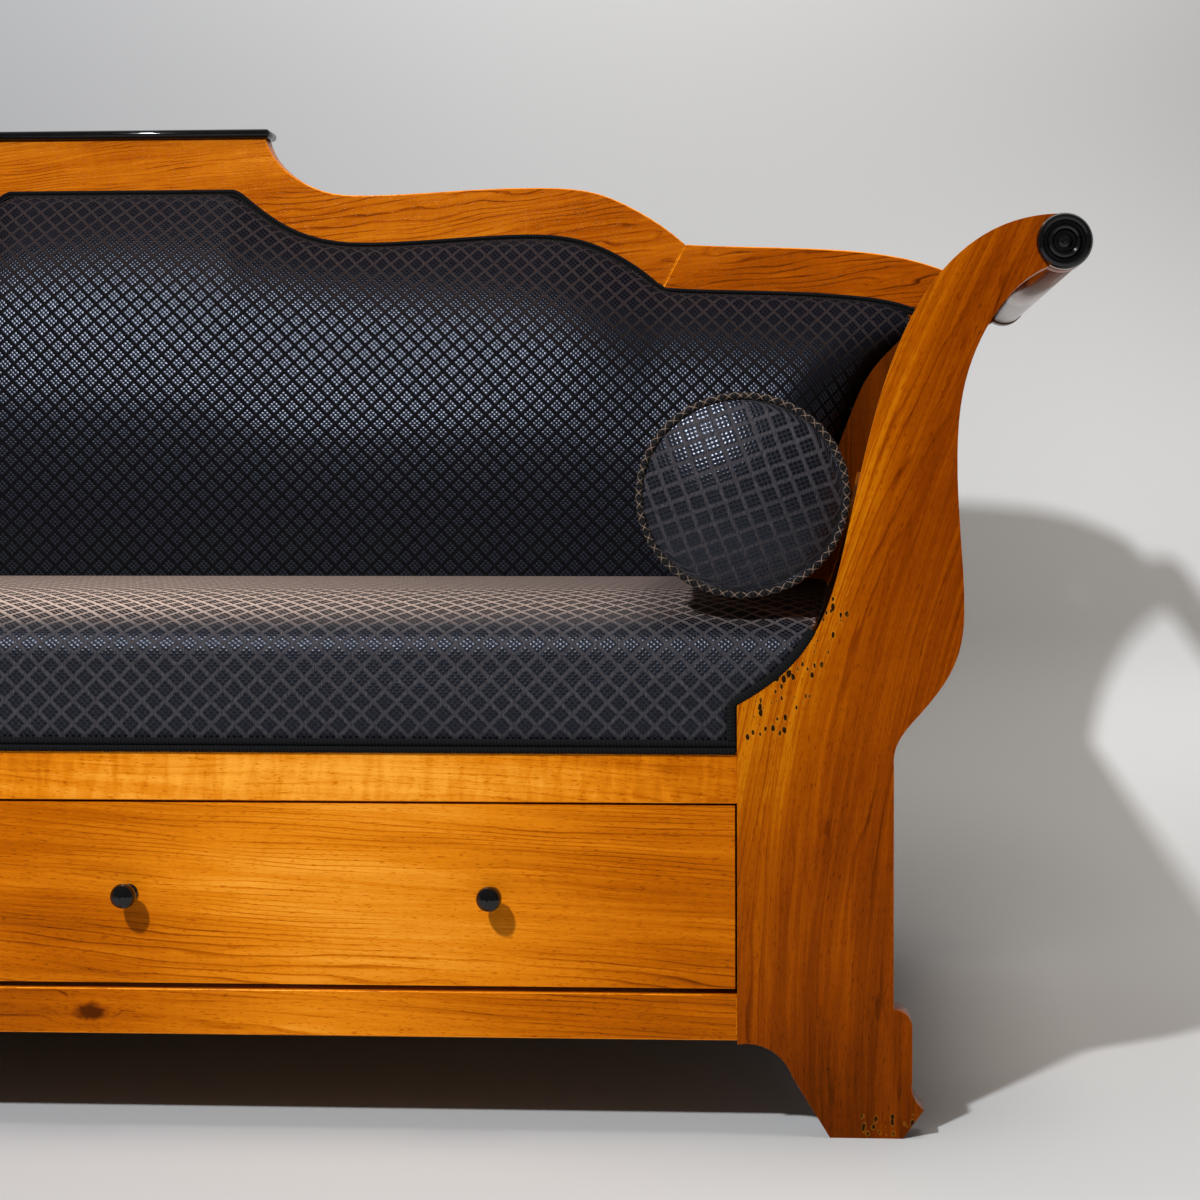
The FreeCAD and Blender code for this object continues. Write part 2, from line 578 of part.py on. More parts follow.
def seat_braid():
    """Double braid under the seat's front border and up the arm's shoulders."""
    front = RAIL_RECESS - BRAID_THICK
    end = SEAT_HALF - PAD_GAP
    low = block(-end, end, front, RAIL_RECESS, SEAT_TOP, SEAT_TOP + SEAT_BRAID)
    near = beside(inner_sweep(), -PAD_GAP)
    far = beside(inner_sweep(), -PAD_GAP - BRAID)
    far.reverse()
    inner = SEAT_HALF - PAD_GAP - BRAID
    side = cut_out([Vector(SEAT_HALF - PAD_GAP, 0, SEAT_TOP), near, far, Vector(inner, 0, SHOULDER_Z),
                    Vector(inner, 0, SEAT_TOP)], front, RAIL_RECESS)
    height = block(0, ROLL.x, front, RAIL_RECESS, SEAT_TOP, PAD_Z + SEAT_EDGE - SEAT_EDGE_R / 4)
    side = side.common(height)
    return low.fuse([side, mirrored(side)]).removeSplitter()


def back_section(x, top):
    """Back pad cut across: full at its foot and drawn back to a thin edge under the crest."""
    hollow = max(0.0, (x - SEAT_HALF) / (PAD_END.x - SEAT_HALF))
    depth = BACK_PAD - (BACK_PAD - 3 * BACK_PAD_EDGE) * hollow ** 2
    height = top - PAD_Z
    foot, belly, waist, bend = [at(x, BACK_FACE - full * depth, PAD_Z + rise * height)
                                for full, rise in BACK_FULLNESS]
    edge = at(x, BACK_FACE - BACK_PAD_EDGE, top)
    rear = at(x, BACK_FACE, top)
    heel = at(x, BACK_FACE, PAD_Z)
    return Part.Wire([arc(foot, belly, waist), arc(waist, bend, edge), Part.makeLine(edge, rear),
                      Part.makeLine(rear, heel), Part.makeLine(heel, foot)])


def back_pad(braid):
    """Right half lofted under the braid's line, then mirrored."""
    below = BRAID - BACK_BRAID_LAP + PAD_GAP
    tops = [Vector(0, 0, PAD_CORNER.z - below)]
    for curve, spans in zip(pad_line(), (14, 5)):
        lower = beside(curve, below)
        step = (lower.LastParameter - lower.FirstParameter) / spans
        tops += [lower.value(lower.FirstParameter + i * step) for i in range(spans + 1)]
    half = Part.makeLoft([back_section(top.x, top.z) for top in tops], True, True)
    half = half.cut([space_beside_arm(PAD_GAP, 0, CASE_DEPTH, REAR_SWEEP), braid])
    return half.fuse(mirrored(half)).removeSplitter()


def back_braid():
    """Narrow braid that covers the back pad's edge on the crest."""
    half = []
    d0, d1 = CASE_DEPTH - BRAID_THICK, CASE_DEPTH
    high = PAD_CORNER.z + BACK_BRAID_LAP
    flat = block(0, PAD_CORNER.x, d0, d1, high - BRAID, high)
    half.append(flat)
    for curve in pad_line():
        upper = beside(curve, -BACK_BRAID_LAP)
        lower = beside(curve, BRAID - BACK_BRAID_LAP)
        lower.reverse()
        half.append(cut_out([upper, lower], d0, d1))
    right = half[0].fuse(half[1:])
    return right.fuse(mirrored(right)).removeSplitter()


def bolster_axis():
    """Where a bolster's axis crosses the XZ plane: it lies on the seat, a gap away from the arm's sweep."""
    arm = inner_sweep().toShape()
    z = PAD_Z + SEAT_CROWN - seat_drop(SEAT_HALF) + BOLSTER_R + BOLSTER_GAP
    clear, blocked = 0.0, ROLL.x
    while blocked - clear > 0.001:
        x = (clear + blocked) / 2
        if Part.Vertex(Vector(x, 0, z)).distToShape(arm)[0] > BOLSTER_R + BOLSTER_ARM_GAP:
            clear = x
        else:
            blocked = x
    return Vector(clear, 0, z)


def bolster(axis):
    """Right bolster: a long round roll, fullest in the middle, with domed ends."""
    front, rear = BOLSTER_RINGS
    front_tip = axis + at(0, front - BOLSTER_DOME, 0)
    rear_tip = axis + at(0, rear + BOLSTER_DOME, 0)
    front_rim = axis + at(BOLSTER_END_R, front, 0)
    rear_rim = axis + at(BOLSTER_END_R, rear, 0)
    swell = axis + at(BOLSTER_R, (front + rear) / 2, 0)
    ball_r = (BOLSTER_END_R ** 2 + BOLSTER_DOME ** 2) / (2 * BOLSTER_DOME)
    half_turn = math.asin(BOLSTER_END_R / ball_r) / 2
    on_dome = Vector(ball_r * math.sin(half_turn), ball_r * (1 - math.cos(half_turn)), 0)
    wire = Part.Wire([arc(front_tip, front_tip + on_dome, front_rim), arc(front_rim, swell, rear_rim),
                      arc(rear_rim, rear_tip + Vector(on_dome.x, -on_dome.y, 0), rear_tip),
                      Part.makeLine(rear_tip, front_tip)])
    return Part.Face(wire).revolve(front_tip, Vector(0, 1, 0), 360)


def bolster_cords(axis, roll):
    """Twisted cord rings sewn round the bolster's two rims."""
    rings = []
    for depth in BOLSTER_RINGS:
        ring = Part.makeTorus(BOLSTER_END_R, CORD_R, axis + at(0, depth, 0), Vector(0, 1, 0))
        rings.append(ring.cut(roll))
    return Part.makeCompound(rings)


# Drawers, drawn on the right-hand side

def tail_row(x0, x1, root, tip, z0):
    """Dovetails of a drawer side, from their root to their wider tip."""
    pitch = DRAWER_SIDE_H / TAILS
    half_root = TAIL_SHARE * pitch / 2
    half_tip = half_root + abs(tip - root) * math.tan(math.radians(TAIL_SLOPE))
    tails = []
    for i in range(TAILS):
        middle = z0 + (i + 0.5) * pitch
        points = [at(x0, root, middle - half_root), at(x0, tip, middle - half_tip),
                  at(x0, tip, middle + half_tip), at(x0, root, middle + half_root)]
        tails.append(Part.Face(Part.makePolygon(points + [points[0]])).extrude(OUT * (x1 - x0)))
    return tails


def drawer_side(x0, x1):
    """Drawer side with half-blind tails at the front and through tails at the rear."""
    root = RAIL_RECESS + DRAWER_FRONT
    board = block(x0, x1, root, DRAWER_REAR - DRAWER_BACK, DRAWER_Z, DRAWER_Z + DRAWER_SIDE_H)
    tails = tail_row(x0, x1, root, root - FRONT_TAIL, DRAWER_Z)
    tails += tail_row(x0, x1, DRAWER_REAR - DRAWER_BACK, DRAWER_REAR, DRAWER_Z)
    return board.fuse(tails).removeSplitter()


def knob(x):
    """Turned mushroom knob with a round tenon through the drawer front. Shares of its length and radius."""
    z = DRAWER_Z + DRAWER_H / 2
    tenon = [(DRAWER_FRONT, 0), (DRAWER_FRONT, KNOB_TENON_R), (0, KNOB_TENON_R)]
    shares = ((0.0, 0.72), (0.07, 0.72), (0.12, 0.5), (0.36, 0.44), (0.44, 0.72), (0.54, 0.96), (0.66, 1.0),
              (0.8, 0.9), (0.92, 0.62), (0.98, 0.28), (1.0, 0.0))
    head = [(-KNOB_LENGTH * out, KNOB_R * radius) for out, radius in shares]
    return turned(tenon + head, x, RAIL_RECESS, z)


def drawer_pieces():
    """Front, inner side, outer side, back, bottom and knobs of the right drawer."""
    x0 = DIVIDER / 2 + DRAWER_GAP
    x1 = SEAT_HALF - DRAWER_GAP
    face = RAIL_RECESS
    floor_z = DRAWER_Z + BOTTOM_RISE
    side_top = DRAWER_Z + DRAWER_SIDE_H
    bottom = block(x0 + DRAWER_SIDE - PANEL_GROOVE, x1 - DRAWER_SIDE + PANEL_GROOVE,
                   face + DRAWER_FRONT - PANEL_GROOVE, DRAWER_REAR, floor_z, floor_z + DRAWER_BOTTOM)
    inner = drawer_side(x0, x0 + DRAWER_SIDE)
    outer = drawer_side(x1 - DRAWER_SIDE, x1)
    middle = (x0 + x1) / 2
    knobs = Part.makeCompound([knob(middle - KNOB_SPACING / 2), knob(middle + KNOB_SPACING / 2)])
    front = block(x0, x1, face, face + DRAWER_FRONT, DRAWER_Z, DRAWER_Z + DRAWER_H)
    front = front.cut([inner, outer, bottom] + knobs.Solids)
    back = block(x0, x1, DRAWER_REAR - DRAWER_BACK, DRAWER_REAR, floor_z + DRAWER_BOTTOM, side_top)
    return {"front": front, "side_inner": inner.cut(bottom), "side_outer": outer.cut(bottom),
            "back": back.cut([inner, outer]), "bottom": bottom, "knobs": knobs}


def build():
    nodes = {}

    def pair(name, right):
        nodes[name + "_right"] = right
        nodes[name + "_left"] = mirrored(right)

    seat_rail_front = tenoned_rail(RAIL_RECESS, SEAT_RAIL_Z, SEAT_TOP)
    base_rail_front = tenoned_rail(RAIL_RECESS, BASE_Z, BASE_TOP)
    seat_rail_back = tenoned_rail(REAR_BOARD, SEAT_RAIL_Z, SEAT_TOP)
    base_rail_back = tenoned_rail(REAR_BOARD, BASE_Z, BASE_TOP)
    panel_middle = CASE_DEPTH - BOARD / 2
    case_back = block(-SEAT_HALF, SEAT_HALF, panel_middle - CASE_BACK / 2, panel_middle + CASE_BACK / 2,
                      BASE_TOP - PANEL_GROOVE, SEAT_RAIL_Z + PANEL_GROOVE)
    upright = divider()
    bearer = seat_bearer()
    front_board, rear_board, inner_panel, outer_panel, roll = arm_pieces()
    disc = rosette()
    pair("arm_front", front_board.cut([seat_rail_front, base_rail_front, disc]))
    pair("arm_rear", rear_board.cut([seat_rail_back, base_rail_back]))
    pair("arm_inner_panel", inner_panel)
    pair("arm_outer_panel", outer_panel)
    pair("arm_roll", roll)
    pair("arm_rosette", disc)
    nodes["seat_rail_front"] = seat_rail_front.cut([upright, bearer])
    nodes["base_rail_front"] = base_rail_front.cut(upright)
    nodes["drawer_divider"] = upright
    nodes["seat_rail_back"] = seat_rail_back.cut([bearer, case_back])
    nodes["base_rail_back"] = base_rail_back.cut(case_back)
    nodes["case_back"] = case_back
    nodes["seat_bearer"] = bearer
    pair("seat_rail", block(SEAT_HALF - SIDE_RAIL, SEAT_HALF, RAIL_BACK, REAR_BOARD, SEAT_RAIL_Z, SEAT_TOP))
    pair("case_side", block(SEAT_HALF, SEAT_HALF + CASE_SIDE, BOARD, REAR_BOARD, BASE_Z,
                            SHOULDER_Z - PANEL_INSET))
    pair("runner", block(SEAT_HALF - RUNNER, SEAT_HALF, RAIL_BACK, REAR_BOARD, RUNNER_TOP - RUNNER_H,
                         RUNNER_TOP))
    nodes["runner_center"] = center_runner()
    nodes["drawer_stops"] = drawer_stops()
    nodes["glue_blocks"] = glue_blocks()

    crest_center, crest_side = crest_pieces()
    rail = tacking_rail()
    nodes["crest_center"] = crest_center
    pair("crest", crest_side)
    nodes["crest_cap"] = crest_cap()
    pair("back_post", back_post(crest_side).cut(rail))
    nodes["back_muntin"] = back_muntin(crest_center).cut(rail)
    nodes["back_tacking_rail"] = rail
    nodes["back_lining"] = back_lining()

    nodes["seat_webbing"] = seat_webbing()
    nodes["seat_pad"] = seat_pad()
    nodes["seat_braid"] = seat_braid()
    nodes["back_webbing"] = Part.makeCompound(back_webbing())
    nodes["back_braid"] = back_braid()
    nodes["back_pad"] = back_pad(nodes["back_braid"])

    axis = bolster_axis()
    cushion = bolster(axis)
    pair("bolster", cushion)
    pair("bolster_cords", bolster_cords(axis, cushion))
    for name, piece in drawer_pieces().items():
        pair("drawer_" + name, piece)
    return nodes


os.makedirs("parts", exist_ok=True)
for node, shape in build().items():
    shape.exportStep("parts/" + node + ".step")
    print(node, len(shape.Solids), round(shape.Volume), shape.isValid())
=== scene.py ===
# %% [markdown]
# A cherry sofa of the 1830s, dressed for its photograph.
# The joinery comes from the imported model, which stays where it is. This script gives the wood its figure,
# stuffs the pads and bolsters, sews on braid and cord, stretches the lining, and sets floor, light and
# camera.

# %% Load the frame
import math

import bmesh
import bpy
import numpy as np
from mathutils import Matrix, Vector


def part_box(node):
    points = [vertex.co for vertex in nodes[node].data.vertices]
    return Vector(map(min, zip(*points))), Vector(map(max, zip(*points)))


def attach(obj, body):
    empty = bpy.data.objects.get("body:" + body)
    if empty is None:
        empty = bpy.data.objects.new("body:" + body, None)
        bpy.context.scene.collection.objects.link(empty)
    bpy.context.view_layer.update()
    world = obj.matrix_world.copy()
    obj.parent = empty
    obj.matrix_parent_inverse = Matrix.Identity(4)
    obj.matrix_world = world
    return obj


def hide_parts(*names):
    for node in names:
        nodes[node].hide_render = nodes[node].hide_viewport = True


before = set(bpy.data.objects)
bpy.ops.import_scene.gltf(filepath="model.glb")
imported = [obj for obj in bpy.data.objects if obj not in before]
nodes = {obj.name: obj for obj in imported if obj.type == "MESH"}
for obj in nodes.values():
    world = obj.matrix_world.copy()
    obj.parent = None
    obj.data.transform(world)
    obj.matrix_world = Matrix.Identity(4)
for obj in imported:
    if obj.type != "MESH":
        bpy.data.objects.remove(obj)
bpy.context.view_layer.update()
MM = 0.001
print("nodes in the frame:", len(nodes))


# %% [markdown]
# Every finish below is a small network of shader nodes. One helper adds a node, sets its properties and
# fills its inputs, either with plain values or with another node's output. Colours are written as sRGB hex,
# the way a colour picker shows them, and turned to the linear values that a shader works in.

# %% Helpers for finishes
SMOOTH = {"interpolation_type": "SMOOTHSTEP"}   # settings for a soft step from one value to another
BLEND = {"out": "Result", "data_type": "RGBA"}  # settings for a mix of two colours


def paint(code):
    """Linear RGBA of an sRGB hex colour: each channel is undone from the sRGB curve."""
    channels = np.array([int(code[i:i + 2], 16) for i in (1, 3, 5)]) / 255
    linear = np.where(channels <= 0.04045, channels / 12.92, ((channels + 0.055) / 1.055) ** 2.4)
    return (*linear.tolist(), 1.0)


def add(tree, kind, inputs=None, out=0, stops=None, **settings):
    """Add one node with its settings, feed its inputs, and return the chosen output."""
    node = tree.nodes.new("ShaderNode" + kind)
    for name, value in settings.items():
        setattr(node, name, value)
    for place, value in (inputs or {}).items():
        if isinstance(value, bpy.types.NodeSocket):
            tree.links.new(value, node.inputs[place])
        else:
            node.inputs[place].default_value = value
    for i, (place, code) in enumerate(stops or []):
        element = node.color_ramp.elements[i] if i < 2 else node.color_ramp.elements.new(place)
        element.position = place
        element.color = paint(code)
    return node.outputs[out]


def finish(name):
    """New material with its Principled shader: gives the material, its tree and that shader."""
    material = bpy.data.materials.new(name)
    material.use_nodes = True
    shader = material.node_tree.nodes["Principled BSDF"]
    return material, material.node_tree, shader


def plug(tree, shader, **inputs):
    """Set or link the shader's inputs. Spaces in their names are written as underscores."""
    for name, value in inputs.items():
        socket = shader.inputs[name.replace("_", " ")]
        if isinstance(value, bpy.types.NodeSocket):
            tree.links.new(value, socket)
        else:
            socket.default_value = value


# %% [markdown]
# Cherry wood. A board shows the tree's growth rings where the saw crossed them. Stretched noise alone gives
# stripes but no rings, so the rings are cylinders round the heart of a log that lies beside the board and
# leans a little against it, disturbed by noise that is drawn out along the grain. Each ring ends in a thin
# dark line. Streaks, pores and cross ripples lie over that, and all of it is one number, tone, that a colour
# ramp turns into wood: dark at 0, pale at 1.

# %% Rings, knots and sapwood
RING = 3.8 * MM         # growth rings, where the saw meets them squarely
WANDER = 40 * MM        # how far the rings stray from true cylinders
KNOT_PUSH = 9 * MM      # how far a knot pushes them aside
FADED = 16.67 * MM      # patches in which ring lines fade
RAGGED = 8.333 * MM     # raggedness of a knot's edge


def growth_rings(tree, radius, drawn):
    """How much the rings darken a point, 0 to 1: each ends in a thin line, and the lines fade in places."""
    phase = add(tree, "Math", {0: radius, 1: 1 / RING}, operation="MULTIPLY")
    season = add(tree, "Math", {0: phase}, operation="FRACT")
    line = add(tree, "MapRange", {0: season, 1: 0.66, 2: 0.94, 3: 0.0, 4: 1.0}, **SMOOTH)
    ended = add(tree, "MapRange", {0: season, 1: 0.95, 2: 1.0, 3: 1.0, 4: 0.0})
    ring = add(tree, "Math", {0: line, 1: ended}, operation="MULTIPLY")
    faint = add(tree, "TexNoise", {"Vector": drawn, "Scale": 1 / FADED, "Detail": 2})
    faint = add(tree, "MapRange", {0: faint, 1: 0.38, 2: 0.64, 3: 0.0, 4: 1.0})
    return add(tree, "Math", {0: ring, 1: faint}, operation="MULTIPLY")


def knot_gap(tree, spot, knot):
    """Distance from a knot's heart, less along the board than across it, and ragged by noise."""
    offset = add(tree, "VectorMath", {0: spot, 1: knot}, operation="SUBTRACT")
    offset = add(tree, "VectorMath", {0: offset, 1: (0.55, 0.4, 1)}, operation="MULTIPLY")
    gap = add(tree, "VectorMath", {0: offset}, out="Value", operation="LENGTH")
    ragged = add(tree, "TexNoise", {"Vector": spot, "Scale": 1 / RAGGED, "Detail": 3})
    return add(tree, "Math", {0: ragged, 1: 7 * MM, 2: gap}, operation="MULTIPLY_ADD")


def sapwood(tree, straight, z, edge):
    """Share of sapwood, 0 to 1: all of it inside the edge of an arm, and less at its foot and its scroll."""
    sap = add(tree, "MapRange", {0: straight, 1: edge - 30 * MM, 2: edge + 42 * MM, 3: 1.0, 4: 0.0}, **SMOOTH)
    low = add(tree, "MapRange", {0: z, 1: 0.14, 2: 0.36, 3: 0.15, 4: 1.0}, **SMOOTH)
    high = add(tree, "MapRange", {0: z, 1: 0.50, 2: 0.70, 3: 1.0, 4: 0.7}, **SMOOTH)
    sap = add(tree, "Math", {0: sap, 1: low}, operation="MULTIPLY")
    return add(tree, "Math", {0: sap, 1: high}, operation="MULTIPLY")


# %% Cherry, French-polished
WAVE = 62.5 * MM        # width of the grain's waves
PATCH = 38.46 * MM      # width of broad patches
STREAK = 6 * MM         # width of streaks
PORE = 0.9 * MM         # width of pores; real ones are finer, these are as fine as a picture can hold
RIPPLE = 9 * MM         # spacing of cross ripples
MOTTLE = 0.55           # how much those patches differ in tone
PORE_DARK = 0.20        # how much darker a pore is than its board
POOL_OF_LIGHT_PALE = 0.16       # how much paler a board is painted in a pool of light, and darker at its far ends
SAP_PALE = 0.36         # how much paler sapwood is
FOOT_DARKER = 0.22        # how much darker the arm wood gets towards the floor
KNOT_DARK = 0.6         # how much darker a knot's heart is
POLISH_IOR = 1.48
SHELLAC = "#e0a050"     # amber polish, which tints what it mirrors


def cherry(name, grain, heart, palette, tone=0.62, streaks=0.3, lines=0.3, ripple=0.2, gloss=0.4, rough=0.3,
           bend=None, fade=None, knot=None, pits=None, swirl=0.12):
    """Polished cherry. grain turns the board so that X runs along it, heart is a point of the log's middle.

    tone is the mean tone, and streaks, lines and ripple say how strong those are. swirl is how short the
    waves of the grain are along it, against their width.
    bend is (b, c, edge): the grain follows an arm, as x - (b z + c z^2) on both sides alike, with paler
    sapwood inside the edge.
    fade is (x, reach): painted light: boards are paler round that x, on both sides alike, as a pool of light
    and broad highlight, and darker beyond the reach.
    knot is the place of a knot, and pits are bands of worm holes.
    """
    material, tree, shader = finish(name)
    spot = add(tree, "TexCoord", out="Object")
    x = add(tree, "SeparateXYZ", {0: spot}, out="X")
    y = add(tree, "SeparateXYZ", {0: spot}, out="Y")
    z = add(tree, "SeparateXYZ", {0: spot}, out="Z")
    apart = add(tree, "Math", {0: x}, operation="ABSOLUTE")
    place = spot
    if bend:
        slope = add(tree, "Math", {0: z, 1: bend[1], 2: bend[0]}, operation="MULTIPLY_ADD")
        aside = add(tree, "Math", {0: slope, 1: z}, operation="MULTIPLY")
        straight = add(tree, "Math", {0: apart, 1: aside}, operation="SUBTRACT")
        place = add(tree, "CombineXYZ", {0: straight, 1: y, 2: z})
    turned = add(tree, "Mapping", {"Vector": place, "Rotation": grain, "Location": heart},
                 vector_type="TEXTURE")
    drawn = add(tree, "VectorMath", {0: turned, 1: (swirl, 1, 1)}, operation="MULTIPLY")
    wander = add(tree, "TexNoise", {"Vector": drawn, "Scale": 1 / WAVE, "Detail": 4, "Roughness": 0.45},
                 out="Color")
    wander = add(tree, "VectorMath", {0: wander, 1: (0.5, 0.5, 0.5)}, operation="SUBTRACT")
    wander = add(tree, "VectorMath", {0: wander, 1: (0, WANDER, WANDER)}, operation="MULTIPLY")
    log = add(tree, "VectorMath", {0: turned, 1: wander}, operation="ADD")
    across = add(tree, "VectorMath", {0: log, 1: (0, 1, 1)}, operation="MULTIPLY")
    radius = add(tree, "VectorMath", {0: across}, out="Value", operation="LENGTH")
    if knot:
        gap = knot_gap(tree, spot, knot)
        push = add(tree, "MapRange", {0: gap, 1: 4 * MM, 2: 30 * MM, 3: KNOT_PUSH, 4: 0.0}, **SMOOTH)
        radius = add(tree, "Math", {0: radius, 1: push}, operation="ADD")
    ring = growth_rings(tree, radius, drawn)
    fine = add(tree, "VectorMath", {0: log, 1: (0.02, 1, 1)}, operation="MULTIPLY")
    streak = add(tree, "TexNoise", {"Vector": fine, "Scale": 1 / STREAK, "Detail": 7, "Roughness": 0.75})
    mottle = add(tree, "TexNoise", {"Vector": drawn, "Scale": 1 / PATCH, "Detail": 3})
    dash = add(tree, "VectorMath", {0: log, 1: (0.14, 1, 1)}, operation="MULTIPLY")
    pore = add(tree, "TexNoise", {"Vector": dash, "Scale": 1 / PORE, "Detail": 1})
    pore = add(tree, "MapRange", {0: pore, 1: 0.60, 2: 0.72, 3: 0.0, 4: 1.0})
    wave = add(tree, "VectorMath", {0: turned, 1: (1, 0.25, 0.25)}, operation="MULTIPLY")
    wave = add(tree, "TexNoise", {"Vector": wave, "Scale": 1 / RIPPLE, "Detail": 2, "Distortion": 0.6})
    value = tone - (MOTTLE + 2 * streaks + ripple) / 2
    for part, strength in ((mottle, MOTTLE), (streak, 2 * streaks), (wave, ripple), (ring, -lines),
                           (pore, -PORE_DARK)):
        value = add(tree, "Math", {0: part, 1: strength, 2: value}, operation="MULTIPLY_ADD")
    # Painted pool of light: paler round the given x, darker beyond its reach.
    if fade:
        far = add(tree, "Math", {0: apart, 1: fade[0]}, operation="SUBTRACT")
        far = add(tree, "Math", {0: far}, operation="ABSOLUTE")
        pale = add(tree, "MapRange", {0: far, 1: 0.0, 2: fade[1], 3: POOL_OF_LIGHT_PALE, 4: -POOL_OF_LIGHT_PALE}, **SMOOTH)
        value = add(tree, "Math", {0: value, 1: pale}, operation="ADD")
    if bend:
        sap = sapwood(tree, straight, z, bend[2])
        value = add(tree, "Math", {0: sap, 1: SAP_PALE, 2: value}, operation="MULTIPLY_ADD")
        # The arm wood turns darker towards the floor.
        toward_floor = add(tree, "MapRange", {0: z, 1: 0.0, 2: 0.16, 3: -FOOT_DARKER, 4: 0.0}, **SMOOTH)
        value = add(tree, "Math", {0: value, 1: toward_floor}, operation="ADD")
    if knot:
        core = add(tree, "MapRange", {0: gap, 1: 5 * MM, 2: 14 * MM, 3: KNOT_DARK, 4: 0.0}, **SMOOTH)
        value = add(tree, "Math", {0: value, 1: core}, operation="SUBTRACT")
    stops = [(i / (len(palette) - 1), code) for i, code in enumerate(palette)]
    stops = [stops[0], stops[-1]] + stops[1:-1]
    colour = add(tree, "ValToRGB", {0: value}, stops=stops)
    hollow = pore
    if pits:
        sides = add(tree, "CombineXYZ", {0: apart, 1: y, 2: z})
        for band in pits:
            colour, hollow = worm_pits(tree, sides, colour, *band)
    worn = add(tree, "Math", {0: mottle, 1: 0.16, 2: rough - 0.08}, operation="MULTIPLY_ADD")
    bump = add(tree, "Bump", {"Height": hollow, "Strength": 0.3, "Distance": 0.4 * MM}, invert=True)
    plug(tree, shader, Base_Color=colour, Roughness=worn, Normal=bump, IOR=POLISH_IOR,
         Specular_IOR_Level=gloss, Specular_Tint=paint(SHELLAC))
    return material


# %% Worm holes
PIT_SPACING = 5.2 * MM
PIT_GROUP = 12.5 * MM   # holes of like size lie together
PIT_EDGE = 1.111 * MM   # raggedness of their edges
PIT_DARK = "#1c0b03"
PIT_RIM = "#dc9a2c"


def worm_pits(tree, place, colour, start, end, width):
    """Old worm holes along a band from start to end: small dark dots with pale rims.

    They sit at scattered cell centres, and noise makes them ragged and uneven in size. Gives the colour with
    the holes in it, and how deep a point lies in them.
    """
    run = np.subtract(end, start)
    length = float(np.linalg.norm(run))
    way = run / length
    side = np.cross(way, (0, 1, 0))
    offset = add(tree, "VectorMath", {0: place, 1: start}, operation="SUBTRACT")
    along = add(tree, "VectorMath", {0: offset, 1: way.tolist()}, out="Value", operation="DOT_PRODUCT")
    aside = add(tree, "VectorMath", {0: offset, 1: side.tolist()}, out="Value", operation="DOT_PRODUCT")
    aside = add(tree, "Math", {0: aside}, operation="ABSOLUTE")
    near = add(tree, "MapRange", {0: aside, 1: 0.6 * width, 2: width, 3: 1.0, 4: 0.0})
    middle = add(tree, "Math", {0: along, 1: length / 2}, operation="SUBTRACT")
    middle = add(tree, "Math", {0: middle}, operation="ABSOLUTE")
    inside = add(tree, "MapRange", {0: middle, 1: 0.42 * length, 2: 0.5 * length, 3: 1.0, 4: 0.0})
    band = add(tree, "Math", {0: near, 1: inside}, operation="MULTIPLY")
    flat = add(tree, "VectorMath", {0: place, 1: (1, 0, 0.55)}, operation="MULTIPLY")
    ragged = add(tree, "TexNoise", {"Vector": place, "Scale": 1 / PIT_EDGE, "Detail": 2})
    cell = add(tree, "TexVoronoi", {"Vector": flat, "Scale": 1 / PIT_SPACING, "Randomness": 1.0},
               out="Distance")
    cell = add(tree, "Math", {0: ragged, 1: 0.3, 2: cell}, operation="MULTIPLY_ADD")
    size = add(tree, "TexNoise", {"Vector": flat, "Scale": 1 / PIT_GROUP})
    size = add(tree, "MapRange", {0: size, 1: 0.38, 2: 0.56, 3: 0.24, 4: 0.52})
    size = add(tree, "Math", {0: size, 1: band}, operation="MULTIPLY")
    over = add(tree, "Math", {0: cell, 1: size}, operation="SUBTRACT")
    dot = add(tree, "MapRange", {0: over, 1: -0.03, 2: 0.03, 3: 1.0, 4: 0.0})
    dot = add(tree, "Math", {0: dot, 1: band}, operation="MULTIPLY")
    rim = add(tree, "MapRange", {0: over, 1: 0.0, 2: 0.14, 3: 0.25, 4: 0.0})
    rim = add(tree, "Math", {0: rim, 1: band}, operation="MULTIPLY")
    shown = add(tree, "Mix", {"Factor": rim, "A": colour, "B": paint(PIT_RIM)}, **BLEND)
    shown = add(tree, "Mix", {"Factor": dot, "A": shown, "B": paint(PIT_DARK)}, **BLEND)
    return shown, dot


# %% [markdown]
# The other plain finishes: black shellac over pear wood on cap, rosettes and knobs, planed pine inside,
# black cotton at the back and jute tape under the pads. Each has one pattern at its true scale.

# %% Black polish, pine, cotton and jute
HAZE = 16.67 * MM       # clouds in the black polish
PINE_RING = 11.11 * MM  # growth rings of the pine
SLUB = 25 * MM          # thick places in plain cloth


def black_polish():
    """Ebonised wood: a deep black with a clear gloss and a faint haze."""
    material, tree, shader = finish("ebonised_pear")
    place = add(tree, "TexCoord", out="Object")
    haze = add(tree, "TexNoise", {"Vector": place, "Scale": 1 / HAZE, "Detail": 2})
    colour = add(tree, "ValToRGB", {0: haze}, stops=[(0.3, "#040405"), (0.8, "#0c0c0f")])
    rough = add(tree, "MapRange", {0: haze, 1: 0.3, 2: 0.8, 3: 0.05, 4: 0.10})
    plug(tree, shader, Base_Color=colour, Roughness=rough, IOR=1.46)
    return material


def pine(name, stretch):
    """Planed pine, never finished: pale, dry, with yellow late rings drawn along the board."""
    material, tree, shader = finish(name)
    place = add(tree, "TexCoord", out="Object")
    drawn = add(tree, "VectorMath", {0: place, 1: stretch}, operation="MULTIPLY")
    ring = add(tree, "TexNoise", {"Vector": drawn, "Scale": 1 / PINE_RING, "Detail": 3, "Distortion": 0.4})
    colour = add(tree, "ValToRGB", {0: ring}, stops=[(0.3, "#7d5a35"), (0.7, "#b38d5c"), (0.52, "#a17947")])
    bump = add(tree, "Bump", {"Height": ring, "Strength": 0.2, "Distance": 0.5 * MM})
    plug(tree, shader, Base_Color=colour, Roughness=0.72, Normal=bump)
    return material


